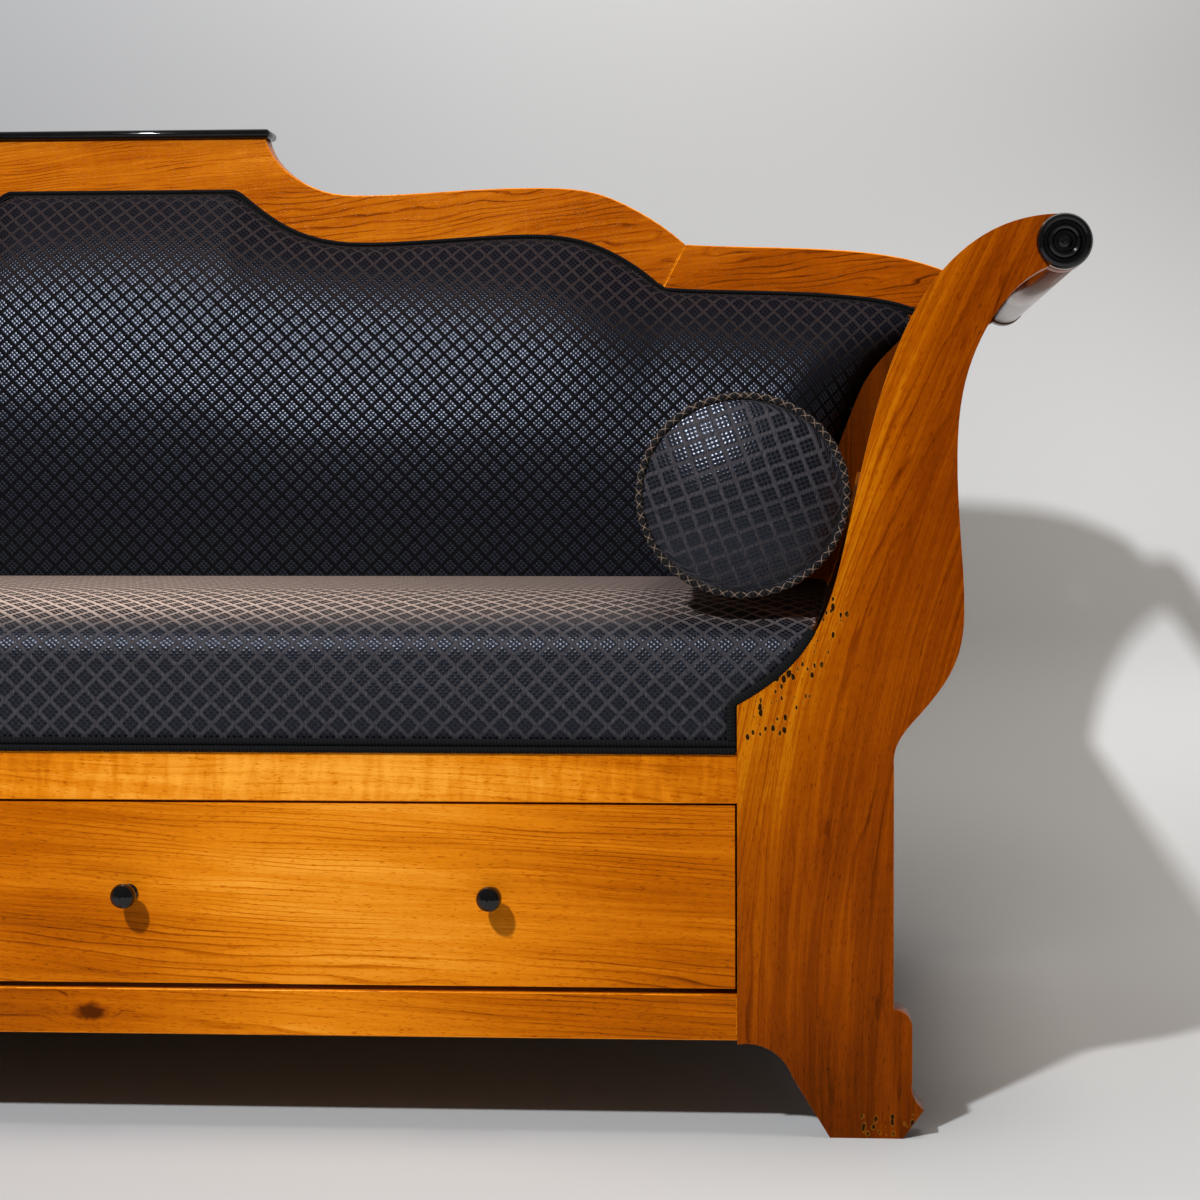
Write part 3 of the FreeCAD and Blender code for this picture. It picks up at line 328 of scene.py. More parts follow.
def plain_weave(name, thread, dark, light, rough):
    """Plain cloth: threads over and under each other, as two crossed rows of waves."""
    material, tree, shader = finish(name)
    place = add(tree, "TexCoord", out="Object")
    row = {"Vector": place, "Scale": 0.05 / thread, "Distortion": 0.6}
    warp = add(tree, "TexWave", row, out="Fac", bands_direction="X")
    weft = add(tree, "TexWave", row, out="Fac", bands_direction="Z")
    weave = add(tree, "Math", {0: warp, 1: weft}, operation="MULTIPLY")
    slub = add(tree, "TexNoise", {"Vector": place, "Scale": 1 / SLUB, "Detail": 4})
    height = add(tree, "Math", {0: slub, 1: 0.7, 2: weave}, operation="MULTIPLY_ADD")
    colour = add(tree, "ValToRGB", {0: height}, stops=[(0.25, dark), (1.0, light)])
    bump = add(tree, "Bump", {"Height": height, "Strength": 0.5, "Distance": 0.6 * MM})
    plug(tree, shader, Base_Color=colour, Roughness=rough, Normal=bump)
    return material


# %% [markdown]
# Horsehair cloth. Cotton makes a dull grey-brown ground, and the hair weft floats over it in little blocks
# of nine glossy black dots, on a lattice of 14 mm. Weaving real threads would take millions of faces, so the
# pattern is worked out from the piece's UV map, which is laid out in metres: fractions of a cell say where a
# point is in its block, and fractions of a third of the block where it is on its dot. The weft runs along the
# lattice's diagonal, so the dots are drawn out that way. Only hair is glossy. The ground has sheen, so it
# lights up when seen edge on.

# %% Horsehair, woven with dots
CELL = 14.3 * MM        # lattice of the blocks
BLOCK = 0.79            # part of the cell that is block
BLOCK_EDGE = 0.015      # how soft the block's edge is, as a part of the cell
DOTS = 3                # dots along a block's side
WEFT_WAY = -45          # degrees from the lattice to the weft
WEAVE_FAULT = 0.10      # how far the lattice wavers, as a part of the cell
FAULT_RUN = 3.846 * MM  # and over which length
THREAD = 1.1 * MM       # cotton threads of the ground
FLOAT_RISE = 0.20 * MM  # how far the hair stands out of the ground
TIED = 0.55             # how much hair covers the block between its dots
HAIR = "#06080f"
HAIR_GLINT = "#dde6ff"
COTTON_NAP = "#e8c8ba"
DULLED = 0.15           # part of the hair's gloss that dust leaves


def horsehair(name, turn, ground, dust_and_sheen=None, sheen_rough=0.2, nap=1.0, hair_rough=0.27, hair_gloss=0.4):
    """Horsehair cloth with its lattice turned by an angle in degrees against the piece's UV map.

    ground is the cotton's dark and light colour, and nap is how much it glows where it is seen at a slant.
    The fourth argument is (colour, start, end, reach, drop), for the part that faces up. There the cotton
    turns to that colour between those places on the V axis, partly as dusty cloth and partly as a painted
    sheen of light, and the hair is dulled there. The colour thins out to the reach along U, and the places
    drop by that many metres for each metre along U.
    """
    material, tree, shader = finish(name)
    uv = add(tree, "UVMap", uv_map="cloth")
    scale = (1 / CELL, 1 / CELL, 1)
    spot = add(tree, "Mapping", {"Vector": uv, "Rotation": (0, 0, math.radians(turn)), "Scale": scale})
    fault = add(tree, "TexNoise", {"Vector": uv, "Scale": 1 / FAULT_RUN, "Detail": 1}, out="Color")
    fault = add(tree, "VectorMath", {0: fault, 1: (0.5, 0.5, 0.5)}, operation="SUBTRACT")
    fault = add(tree, "VectorMath", {0: fault, 1: (WEAVE_FAULT, WEAVE_FAULT, 0)}, operation="MULTIPLY")
    spot = add(tree, "VectorMath", {0: spot, 1: fault}, operation="ADD")
    cell = add(tree, "VectorMath", {0: spot}, operation="FRACTION")
    cell = add(tree, "VectorMath", {0: cell, 1: (0.5, 0.5, 0)}, operation="SUBTRACT")
    reach = add(tree, "VectorMath", {0: cell}, operation="ABSOLUTE")
    x = add(tree, "SeparateXYZ", {0: reach}, out="X")
    y = add(tree, "SeparateXYZ", {0: reach}, out="Y")
    edge = add(tree, "Math", {0: x, 1: y}, operation="MAXIMUM")
    half = BLOCK / 2
    block = add(tree, "MapRange", {0: edge, 1: half - BLOCK_EDGE, 2: half + BLOCK_EDGE, 3: 1.0, 4: 0.0})
    third = add(tree, "VectorMath", {0: cell, 1: (DOTS / BLOCK, DOTS / BLOCK, 0)}, operation="MULTIPLY")
    third = add(tree, "VectorMath", {0: third, 1: (0.5, 0.5, 0)}, operation="ADD")
    third = add(tree, "VectorMath", {0: third}, operation="FRACTION")
    third = add(tree, "VectorMath", {0: third, 1: (0.5, 0.5, 0)}, operation="SUBTRACT")
    weft = add(tree, "Mapping", {"Vector": third, "Rotation": (0, 0, math.radians(WEFT_WAY)),
                                 "Scale": (0.96, 1.1, 1)})
    span = add(tree, "VectorMath", {0: weft}, out="Value", operation="LENGTH")
    dome = add(tree, "MapRange", {0: span, 1: 0.05, 2: 0.55, 3: 1.0, 4: 0.0}, **SMOOTH)
    dot = add(tree, "Math", {0: dome, 1: block}, operation="MULTIPLY")
    hair = add(tree, "MapRange", {0: dot, 1: 0.02, 2: 0.16, 3: 0.0, 4: 1.0})
    fine = add(tree, "VectorMath", {0: uv, 1: (1 / THREAD, 0.2 / THREAD, 1)}, operation="MULTIPLY")
    thread = add(tree, "TexNoise", {"Vector": fine, "Scale": 1.0, "Detail": 2})
    cotton = add(tree, "ValToRGB", {0: thread}, stops=[(0.25, ground[0]), (0.75, ground[1])])
    gloss = add(tree, "MapRange", {0: hair, 1: 0.0, 2: 1.0, 3: 0.0, 4: hair_gloss})
    # Where the cloth faces up its cotton turns paler, partly as dusty cloth and partly as a painted sheen of
    # light, and its hair is dulled.
    if dust_and_sheen:
        grey, start, end, far, drop = dust_and_sheen
        out = add(tree, "SeparateXYZ", {0: uv}, out="X")
        out = add(tree, "Math", {0: out}, operation="ABSOLUTE")
        height = add(tree, "SeparateXYZ", {0: uv}, out="Y")
        height = add(tree, "Math", {0: out, 1: drop, 2: height}, operation="MULTIPLY_ADD")
        caught = add(tree, "MapRange", {0: height, 1: start, 2: end}, **SMOOTH)
        clean = add(tree, "MapRange", {0: caught, 1: 0.0, 2: 1.0, 3: 1.0, 4: DULLED})
        gloss = add(tree, "Math", {0: gloss, 1: clean}, operation="MULTIPLY")
        left = add(tree, "MapRange", {0: out, 1: 0.2 * far, 2: far, 3: 1.0, 4: 0.2})
        caught = add(tree, "Math", {0: caught, 1: left}, operation="MULTIPLY")
        caught = add(tree, "Math", {0: caught, 1: thread}, operation="MULTIPLY")
        cotton = add(tree, "Mix", {"Factor": caught, "A": cotton, "B": paint(grey)}, **BLEND)
    tied = add(tree, "MapRange", {0: block, 1: 0.0, 2: 1.0, 3: 0.0, 4: TIED})
    cover = add(tree, "Math", {0: hair, 1: tied}, operation="MAXIMUM")
    colour = add(tree, "Mix", {"Factor": cover, "A": cotton, "B": paint(HAIR)}, **BLEND)
    rough = add(tree, "MapRange", {0: hair, 1: 0.0, 2: 1.0, 3: 1.0, 4: hair_rough})
    sheen = add(tree, "MapRange", {0: cover, 1: 0.0, 2: 1.0, 3: nap, 4: 0.0})
    height = add(tree, "Math", {0: thread, 1: 0.12, 2: dot}, operation="MULTIPLY_ADD")
    bump = add(tree, "Bump", {"Height": height, "Strength": 1.0, "Distance": FLOAT_RISE})
    # The first sheen and gloss are plain means, which hold where linked ones are dropped.
    plug(tree, shader, Sheen_Weight=0.4 * nap, Specular_IOR_Level=0.6 * hair_gloss, IOR=POLISH_IOR,
         Sheen_Roughness=sheen_rough, Sheen_Tint=paint(COTTON_NAP), Specular_Tint=paint(HAIR_GLINT))
    plug(tree, shader, Base_Color=colour, Roughness=rough, Normal=bump, Sheen_Weight=sheen,
         Specular_IOR_Level=gloss)
    return material


# %% [markdown]
# Braid and cord are spun yarn. Both are swept grids below, and their UV map gives metres along the run and
# a share across it, so a yarn's lay is a slanted stripe in that map. The cord also has thin tan threads,
# wound both ways.

# %% Braid and cord yarn
FUZZ = 0.5556 * MM      # loose fibres


def yarn(name, lay, dark, light, thread=None):
    """Spun yarn with slanted fibres, lay metres apart.

    thread is (colour, gap, width): thin threads are wound round the yarn both ways, gap metres apart.
    """
    material, tree, shader = finish(name)
    uv = add(tree, "UVMap", uv_map="cloth")
    u = add(tree, "SeparateXYZ", {0: uv}, out="X")
    v = add(tree, "SeparateXYZ", {0: uv}, out="Y")
    slant = add(tree, "Math", {0: u, 1: 1 / lay, 2: v}, operation="MULTIPLY_ADD")
    turn = add(tree, "Math", {0: slant, 1: 2 * math.pi}, operation="MULTIPLY")
    ply = add(tree, "Math", {0: turn}, operation="SINE")
    fuzz = add(tree, "TexNoise", {"Vector": uv, "Scale": 1 / FUZZ, "Detail": 2})
    height = add(tree, "Math", {0: ply, 1: 0.5, 2: fuzz}, operation="MULTIPLY_ADD")
    colour = add(tree, "ValToRGB", {0: height}, stops=[(0.1, dark), (0.9, light)])
    if thread:
        tint, gap, width = thread
        for hand in (2, -2):
            around = add(tree, "Math", {0: v, 1: hand}, operation="MULTIPLY")
            coil = add(tree, "Math", {0: u, 1: 1 / gap, 2: around}, operation="MULTIPLY_ADD")
            share = add(tree, "Math", {0: coil, 1: 0.5}, operation="PINGPONG")
            wound = add(tree, "Math", {0: share, 1: width / gap}, operation="LESS_THAN")
            wound = add(tree, "Math", {0: wound, 1: fuzz}, operation="MULTIPLY")
            colour = add(tree, "Mix", {"Factor": wound, "A": colour, "B": paint(tint)}, **BLEND)
    bump = add(tree, "Bump", {"Height": height, "Strength": 0.7, "Distance": 0.5 * MM})
    plug(tree, shader, Base_Color=colour, Roughness=0.9, Normal=bump, Specular_IOR_Level=0.2)
    return material


# %% [markdown]
# Which board gets which cut of the log. Rails, drawer fronts and crest have their grain along X. The arm
# boards' grain climbs with the arm, so it leans outwards by some degrees on each side.

# %% Cuts of the log
LIGHT_CHERRY = ["#4c1a00", "#843900", "#b35900", "#da7d0e", "#f3a235"]
CREST_CHERRY = ["#441600", "#743000", "#984500", "#b66206", "#d08526"]
# the arm boards' cherry is redder than the rails' and darker: partly its own colour, partly painted shade
# where the light falls off towards the right
ARM_CHERRY = ["#340f00", "#5c2000", "#7e3300", "#a04c00", "#cb7808"]
# painted shade: a darkened copy of the cherry, for the rear arm boards
SHADED_CHERRY = ["#1c0800", "#321100", "#461a00", "#5a2400", "#703204"]
LOG_LEAN = 3.0                      # degrees between a board and the heart of its log
ARM_BEND = (-0.03, 0.35, 0.789)     # slope and curve of the arm's grain, and the sapwood's edge
DRAWER_HEART = (0.4, -0.24, 0.05)
ARM_HEART = (0.9, -0.12, 0.3)
PANEL_HEART = (0.9, 0.4, 0.4)
KNOT_AT = (0.196, -0.348, 0.101)
# painted pool of light on the drawers and base rail: its middle and its reach
DRAWER_LIGHT_POOL = (0.42, 0.30)
SHOULDER_PITS = ((0.772, -0.35, 0.325), (0.846, -0.35, 0.475), 26 * MM)
FOOT_PITS = ((0.86, -0.35, 0.012), (0.915, -0.35, 0.012), 14 * MM)

lean = math.radians(LOG_LEAN)
board = (0, lean, 0)
upright = (0, math.radians(-90), lean)
deep = (0, 0, math.radians(90))
top_rail = cherry("cherry_top_rail", board, (0.2, -0.22, 0.20), LIGHT_CHERRY, tone=0.68, ripple=0.4,
                  lines=0.16, fade=(0.42, 0.60))
base_rail = cherry("cherry_base_rail", board, (0.1, -0.25, 0.02), LIGHT_CHERRY, tone=0.56, ripple=0.06,
                   fade=DRAWER_LIGHT_POOL, knot=KNOT_AT)
drawer_wood = cherry("cherry_drawer", board, DRAWER_HEART, LIGHT_CHERRY, tone=0.68, ripple=0.06, fade=DRAWER_LIGHT_POOL)
crest_wood = cherry("cherry_crest", (0, -2 * lean, 0), (0.3, 0.45, 0.79), CREST_CHERRY, tone=0.53, lines=0.45,
                    streaks=0.4, ripple=0.12, swirl=0.22, fade=(0.10, 1.2))
panel_wood = cherry("cherry_panel", deep, PANEL_HEART, ARM_CHERRY, tone=0.8)
roll_wood = cherry("cherry_roll", deep, PANEL_HEART, ARM_CHERRY, tone=0.3, gloss=1.0, rough=0.14)
# The rear arm boards carry painted shade: the strip beside the back pad is darkened as if the pad shadowed
# it.
rear_wood_painted_shade = cherry("cherry_rear", upright, ARM_HEART, SHADED_CHERRY, tone=0.5)
arm_wood = cherry("cherry_arm", upright, ARM_HEART, ARM_CHERRY, tone=0.52, streaks=0.42, lines=0.22,
                  ripple=0.08, bend=ARM_BEND, pits=[SHOULDER_PITS, FOOT_PITS])
# Paler, glossier cherry for the bevelled edges: partly rubbed wear, partly a painted highlight along the
# arrises.
rail_edge_highlit = cherry("cherry_rail_edge", board, DRAWER_HEART, LIGHT_CHERRY, tone=0.72, gloss=0.6, rough=0.22)
arm_edge_highlit = cherry("cherry_arm_edge", upright, ARM_HEART, LIGHT_CHERRY, tone=0.8, gloss=0.6, rough=0.22)
worn_edges = {top_rail: rail_edge_highlit, base_rail: rail_edge_highlit, drawer_wood: rail_edge_highlit, crest_wood: rail_edge_highlit,
              arm_wood: arm_edge_highlit}
black = black_polish()
pine_long = pine("pine_long", (0.04, 1, 1))
pine_upright = pine("pine_upright", (1, 1, 0.04))
pine_deep = pine("pine_deep", (1, 0.04, 1))
cotton = plain_weave("black_cotton", 0.9 * MM, "#0d0d0f", "#2b2b2f", 0.9)
jute = plain_weave("jute_tape", 2.0 * MM, "#5e4a2e", "#a98c5f", 0.85)

# %% [markdown]
# The modelled pieces keep their shape. Hands and cloths have rounded their edges, and a Bevel does that on
# every sharp edge alike. On rails, crest and arms the bevel takes a paler, glossier cherry: partly rubbed
# wear, partly a painted highlight along the arrises. It needs the model's loose triangles welded first.

# %% Give the frame its finishes
WORN_EDGE = 1.3 * MM
SHARP = 40              # degrees from which an edge counts as sharp
WELD_GAP = 0.02 * MM

bare = {"seat_rail_front": top_rail, "base_rail_front": base_rail, "drawer_divider": drawer_wood,
        "crest_center": crest_wood, "crest_cap": black, "seat_webbing": jute, "back_webbing": jute,
        "back_muntin": pine_upright, "seat_bearer": pine_deep, "runner_center": pine_deep}
for side in ("right", "left"):
    bare["drawer_front_" + side] = drawer_wood
    bare["crest_" + side] = crest_wood
    bare["drawer_knobs_" + side] = black
    bare["arm_rosette_" + side] = black
    bare["back_post_" + side] = pine_upright
    bare["arm_front_" + side] = arm_wood
    bare["arm_rear_" + side] = rear_wood_painted_shade
    bare["arm_roll_" + side] = roll_wood
    for name in ("arm_inner_panel_", "arm_outer_panel_"):
        bare[name + side] = panel_wood
    for name in ("case_side_", "runner_", "seat_rail_", "drawer_side_inner_", "drawer_side_outer_"):
        bare[name + side] = pine_deep
for name, piece in nodes.items():
    wood = bare.get(name, pine_long)
    piece.data.materials.clear()
    piece.data.materials.append(wood)
    if not name.startswith(("drawer_knobs", "arm_rosette")):
        weld = piece.modifiers.new("weld", "WELD")
        weld.merge_threshold = WELD_GAP
        worn = piece.modifiers.new("worn_edges", "BEVEL")
        worn.width = WORN_EDGE
        worn.segments = 2
        worn.limit_method = "ANGLE"
        worn.angle_limit = math.radians(SHARP)
        worn.harden_normals = True
        # The bevel of these boards takes the paler edge cherry: partly wear, partly painted highlight.
        if wood in worn_edges:
            piece.data.materials.append(worn_edges[wood])
            worn.material = 1
print("finishes on the frame:", len({*bare.values(), pine_long}))


# %% [markdown]
# Soft pieces are grids of points. A grid is a function of two parameters, so a whole surface is one array
# expression, and each piece gets a UV map in metres, which the cloth patterns above read. The outlines of
# the modelled pieces are measured from the frame, so that the cloth fits the wood it is nailed to.

# %% Helpers for grids
def outline(node, along, across, step=4 * MM, samples_per_edge=240):
    """Least and greatest place of a node on one axis, for steps along another axis.

    Every edge of the mesh is sampled, and the samples are sorted into bins.
    """
    piece = nodes[node]
    turn = np.array(piece.matrix_world)
    places = places_of(piece.data) @ turn[:3, :3].T + turn[:3, 3]
    edges = np.empty(len(piece.data.edges) * 2, dtype=int)
    piece.data.edges.foreach_get("vertices", edges)
    start, end = places[edges[0::2]], places[edges[1::2]]
    share = np.linspace(0, 1, samples_per_edge)[:, None, None]
    samples = (start + share * (end - start)).reshape(-1, 3)
    first = samples[:, along].min()
    bins = ((samples[:, along] - first) / step).astype(int)
    low = np.full(bins.max() + 1, np.inf)
    high = np.full(bins.max() + 1, -np.inf)
    np.minimum.at(low, bins, samples[:, across])
    np.maximum.at(high, bins, samples[:, across])
    middle = first + (np.arange(bins.max() + 1) + 0.5) * step
    found = np.isfinite(low)
    return middle[found], low[found], high[found]


def places_of(mesh):
    """Vertex places of a mesh as an array."""
    places = np.empty(len(mesh.vertices) * 3)
    mesh.vertices.foreach_get("co", places)
    return places.reshape(-1, 3)


def cloth_mesh(name, patches, material, stands_for, body="frame"):
    """Piece made of grids: each patch is (points, uv, around), with shapes (rows, columns, 3) and (.., 2).

    A patch that goes around joins its last column to its first, and its UV has one column more.
    Points that fall together, as at a pole, are merged.
    """
    vertices, faces, corners, start = [], [], [], 0
    for points, uv, around in patches:
        rows, columns = points.shape[:2]
        index = start + np.arange(rows * columns).reshape(rows, columns)
        if around:
            index = np.concatenate([index, index[:, :1]], axis=1)
        square = [index[:-1, :-1], index[:-1, 1:], index[1:, 1:], index[1:, :-1]]
        faces.append(np.stack(square, -1).reshape(-1, 4))
        square_uv = [uv[:-1, :-1], uv[:-1, 1:], uv[1:, 1:], uv[1:, :-1]]
        corners.append(np.stack(square_uv, 2).reshape(-1, 2))
        vertices.append(points.reshape(-1, 3))
        start += rows * columns
    mesh = bpy.data.meshes.new(name)
    mesh.from_pydata(np.concatenate(vertices).tolist(), [], np.concatenate(faces).tolist())
    mesh.uv_layers.new(name="cloth").data.foreach_set("uv", np.concatenate(corners).ravel())
    work = bmesh.new()
    work.from_mesh(mesh)
    bmesh.ops.remove_doubles(work, verts=work.verts, dist=0.01 * MM)
    bmesh.ops.recalc_face_normals(work, faces=work.faces)
    work.to_mesh(mesh)
    work.free()
    mesh.shade_smooth()
    mesh.materials.append(material)
    piece = bpy.data.objects.new(name, mesh)
    bpy.context.scene.collection.objects.link(piece)
    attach(piece, body)
    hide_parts(*stands_for)
    print(name, "has", len(mesh.polygons), "faces")
    return piece


def bow(start, end, rise, count):
    """Shallow bow from start to end, left of the way by 4 t (1 - t) rise. Leaves out its last point."""
    start, end = np.array(start), np.array(end)
    t = np.linspace(0, 1, count, endpoint=False)[:, None]
    way = (end - start) / np.linalg.norm(end - start)
    return start + t * (end - start) + 4 * t * (1 - t) * rise * np.array([-way[1], way[0]])


def run_length(points):
    """Distance along a row of points, from 0 at its first one."""
    return np.concatenate([[0], np.cumsum(np.linalg.norm(np.diff(points, axis=0), axis=1))])


def grid(*parts):
    """Points of a grid from their coordinates, each of which may be a row, a column or a whole grid."""
    return np.stack(np.broadcast_arrays(*parts), -1)


# %% [markdown]
# Stuffing. A pad starts as a closed skin a little smaller than it should be. Cloth physics blows it up from
# inside, without weight, while the points that are nailed to the frame or lie hidden stay put. Ways are eased
# so that none passes a limit. So the cloth draws tight over the edges and dips a little towards its nails,
# which a grid worked out by formula alone would not show.

# %% Cloth physics for the pads
SIM_FRAMES = 20
STUFFING = {"quality": 5, "mass": 0.25, "tension_stiffness": 25, "compression_stiffness": 25,
            "shear_stiffness": 10, "bending_stiffness": 1.0, "use_pressure": True,
            "uniform_pressure_force": 4}


def stuffed(piece, nailed, most):
    """Swell a closed cloth by pressure. nailed marks the points that stay.

    A way of length w is eased to w m / sqrt(m^2 + w^2), so that none is longer than m, the most.
    """
    rest = places_of(piece.data)
    scene = bpy.context.scene
    held = piece.vertex_groups.new(name="nailed")
    held.add(np.flatnonzero(nailed(rest)).tolist(), 1.0, "REPLACE")
    cloth = piece.modifiers.new("stuffing", "CLOTH")
    cloth.settings.vertex_group_mass = "nailed"
    for name, value in STUFFING.items():
        setattr(cloth.settings, name, value)
    cloth.settings.effector_weights.gravity = 0
    cloth.collision_settings.use_collision = False
    cloth.point_cache.frame_start = 1
    cloth.point_cache.frame_end = SIM_FRAMES
    for frame_number in range(1, SIM_FRAMES + 1):
        scene.frame_set(frame_number)
    moved = places_of(piece.evaluated_get(bpy.context.evaluated_depsgraph_get()).data)
    scene.frame_set(1)
    piece.modifiers.remove(cloth)
    piece.vertex_groups.clear()
    way = moved - rest
    length = np.linalg.norm(way, axis=1, keepdims=True)
    eased = most / np.sqrt(most ** 2 + length ** 2)
    way *= eased
    piece.data.vertices.foreach_set("co", (rest + way).ravel())
    piece.data.update()
    print(piece.name, "swelled by", round(float((length * eased).max()) / MM, 1), "mm at most")
    smooth = piece.modifiers.new("smooth", "SUBSURF")
    smooth.levels = smooth.render_levels = 1


# %% [markdown]
# Seat pad: horsehair over a stuffed board, with an upright border at the front. It is one section from front
# to back, stretched sideways. Its ends follow the arms' inner sweep, which is read from the model as a half
# width for each height.

# %% Seat pad
SEAT_EDGE = 110 * MM        # height of the front border
SEAT_ROUND = 28 * MM        # radius of the front edge
SEAT_SWELL = 4 * MM         # how much the stuffing may push the cloth out
EDGE_SWELL = 3 * MM         # room for that above the front edge
FRONT_ROOM = 5 * MM         # and before the front border
CROWN_Y = 158 * MM          # highest line, behind the front
REAR_FALL = 13 * MM         # highest line down to the rear
SEAT_MIDDLE = 60 * MM       # height of the line to which the ends close
SEAT_COLUMNS = 131
END_STEPS = [0, 0.35, 0.7]  # an end closes in these shares of its section
NAIL_LINE = 2 * MM          # cloth this close to a pad's foot or rear is nailed

lo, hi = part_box("seat_pad")
heights, _, widths = outline("seat_pad", along=2, across=0)
front, rear, foot = lo.y + FRONT_ROOM, hi.y, lo.z
edge_z = foot + SEAT_EDGE - SEAT_ROUND - EDGE_SWELL
crown = (lo.y + CROWN_Y, hi.z - SEAT_SWELL)
quarter = np.linspace(0, math.pi / 2, 7)[:-1]
rounded = grid(front + SEAT_ROUND * (1 - np.cos(quarter)), edge_z + SEAT_ROUND * np.sin(quarter))
lip = (front + SEAT_ROUND, edge_z + SEAT_ROUND)
back_edge = (rear, hi.z - REAR_FALL)
section = np.concatenate([bow((front, foot), (front, edge_z), 1.5 * MM, 9), rounded,
                          bow(lip, crown, 4 * MM, 12), bow(crown, back_edge, 3 * MM, 34),
                          bow(back_edge, (rear, foot), 0, 6), bow((rear, foot), (front, foot), 0, 14)])
middle = np.array([(front + rear) / 2, foot + SEAT_MIDDLE])
shrink = np.concatenate([END_STEPS, np.ones(SEAT_COLUMNS), END_STEPS[::-1]])
share = np.pad(np.linspace(-1, 1, SEAT_COLUMNS), len(END_STEPS), mode="edge")
rows = middle + shrink[:, None, None] * (section - middle)
across = share[:, None] * np.interp(rows[..., 1], heights, widths)
seat_points = np.concatenate([across[..., None], rows], -1)
along = run_length(np.concatenate([section, section[:1]]))
across = np.concatenate([across, across[:, :1]], 1)
seat_uv = grid(across, along[None, :])
# The seat's pale pinkish top colour is partly dusty wear and partly a painted sheen, the way the cloth looks
# seen edge on.
seat_cloth = horsehair("horsehair_seat", 45, ("#202024", "#48464a"), ("#ecd0c0", 0.10, 0.17, 0.8, 0.0), 0.35,
                       hair_rough=0.34)
seat = cloth_mesh("seat_cushion", [(seat_points, seat_uv, True)], seat_cloth, ["seat_pad"])


def seat_nails(p):
    """Points of the seat that stay: its foot, its rear and its two ends."""
    at_end = abs(p[:, 0]) > 0.99 * np.interp(p[:, 2], heights, widths)
    return (p[:, 2] < foot + NAIL_LINE) | (p[:, 1] > rear - NAIL_LINE) | at_end


stuffed(seat, seat_nails, SEAT_SWELL)

# %% [markdown]
# Back pad: full at its foot, drawn back to a thin edge that tucks under the braid, and falling away at its
# sides. It stands upright to a share of its height, and above that depth is edge + (full - edge) (1 - f^3),
# where f goes from 0 to 1 at the crest line, which is blurred where that raises it. Close under the braid it
# may not pass (7 d)^0.8, where d is the height share below it, and the sides take it times 1 - s^2.1, where s
# goes from 0 at the side's ridge to 1 at its foot.

# %% Back pad
BACK_FULL = 92 * MM
BACK_EDGE = 0.6 * MM
BACK_TUCK = 7 * MM          # the pad goes this far under its braid
BACK_SIDE = 84 * MM         # width of its sloping sides
BACK_SWELL = 1.5 * MM
BACK_UPRIGHT = 0.30         # share of its height that stands upright
BACK_SOFTEN = 100 * MM      # the stuffing follows the crest's steps only roughly, as if blurred by this
BACK_RAISE = 20 * MM        # how gently the blurred line takes over from the true one
BACK_NAILS = 8 * MM         # cloth this close to the rear is nailed
BACK_COLUMNS = 121
BACK_ROWS = 46

lo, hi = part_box("back_pad")
heights, _, widths = outline("back_pad", along=2, across=0)
line_x, braid_low, braid_high = outline("back_braid", along=0, across=2)
wide = widths.argmax()
heights, widths = heights[:wide + 1], np.maximum.accumulate(widths[:wide + 1])
u = np.linspace(-1, 1, BACK_COLUMNS)[:, None]
v = np.linspace(0, 1, BACK_ROWS)[None, :]
z = lo.z + v * (hi.z - lo.z) + 0 * u
for _ in range(12):
    x = u * np.interp(z, heights, widths)
    edge_line = np.interp(x, line_x, braid_low) + BACK_TUCK
    z = lo.z + v * (edge_line - lo.z)
slide = 1 - np.clip((np.interp(z, heights, widths) - abs(x)) / BACK_SIDE, 0, 1)
step = np.linspace(-3, 3, 61)
weight = np.exp(-step ** 2 / 2) / np.exp(-step ** 2 / 2).sum()
blurred = sum(w * np.interp(line_x + BACK_SOFTEN * s, line_x, braid_low) for w, s in zip(weight, step))
apart = blurred - braid_low
soft_line = braid_low + (apart + np.sqrt(apart ** 2 + BACK_RAISE ** 2)) / 2
share = np.clip((z - lo.z) / (np.interp(x, line_x, soft_line) - lo.z), 0, 1)
below = np.clip(edge_line - BACK_TUCK - z, 0, None) / (hi.z - lo.z)
fall = np.clip((share - BACK_UPRIGHT) / (1 - BACK_UPRIGHT), 0, 1)
room = ((1.001 - fall ** 3) ** -4 + ((7 * below) ** 0.8 + 1e-6) ** -4) ** -0.25
full_depth = BACK_EDGE + (BACK_FULL - BACK_EDGE) * room
face = grid(x, hi.y - full_depth * (1 - slide ** 2.1), z)
behind = grid(x, hi.y, z)[:, ::-1][:, 1:-1:3]
back_points = np.concatenate([face, behind], 1)
middle_column = face[BACK_COLUMNS // 2]
climb = run_length(middle_column)
slope_extra = BACK_SIDE * slide * (np.sqrt(1 + (full_depth / BACK_SIDE) ** 2) - 1)
face_uv = grid(x + np.sign(x) * slope_extra, np.interp(z, middle_column[:, 2], climb))
back_uv = np.concatenate([face_uv, behind[..., [0, 2]], face_uv[:, :1]], 1)
# The back's cotton ground is much darker than the seat's and bolster's: partly less worn cloth, partly
# painted shade.
# The back's paler top colour is partly dusty cloth and partly painted light where the top turns up to the
# softbox.
back_cloth = horsehair("horsehair_back", 45, ("#08080a", "#171517"), ("#3a3131", 0.435, 0.535, 2.0, 0.14),
                       0.12, nap=0.5, hair_rough=0.33, hair_gloss=0.65)
back = cloth_mesh("back_cushion", [(back_points, back_uv, True)], back_cloth, ["back_pad"])
foot_z = lo.z + NAIL_LINE
nail_y = hi.y - BACK_NAILS
stuffed(back, lambda p: (p[:, 1] > nail_y) | (p[:, 2] < foot_z), BACK_SWELL)

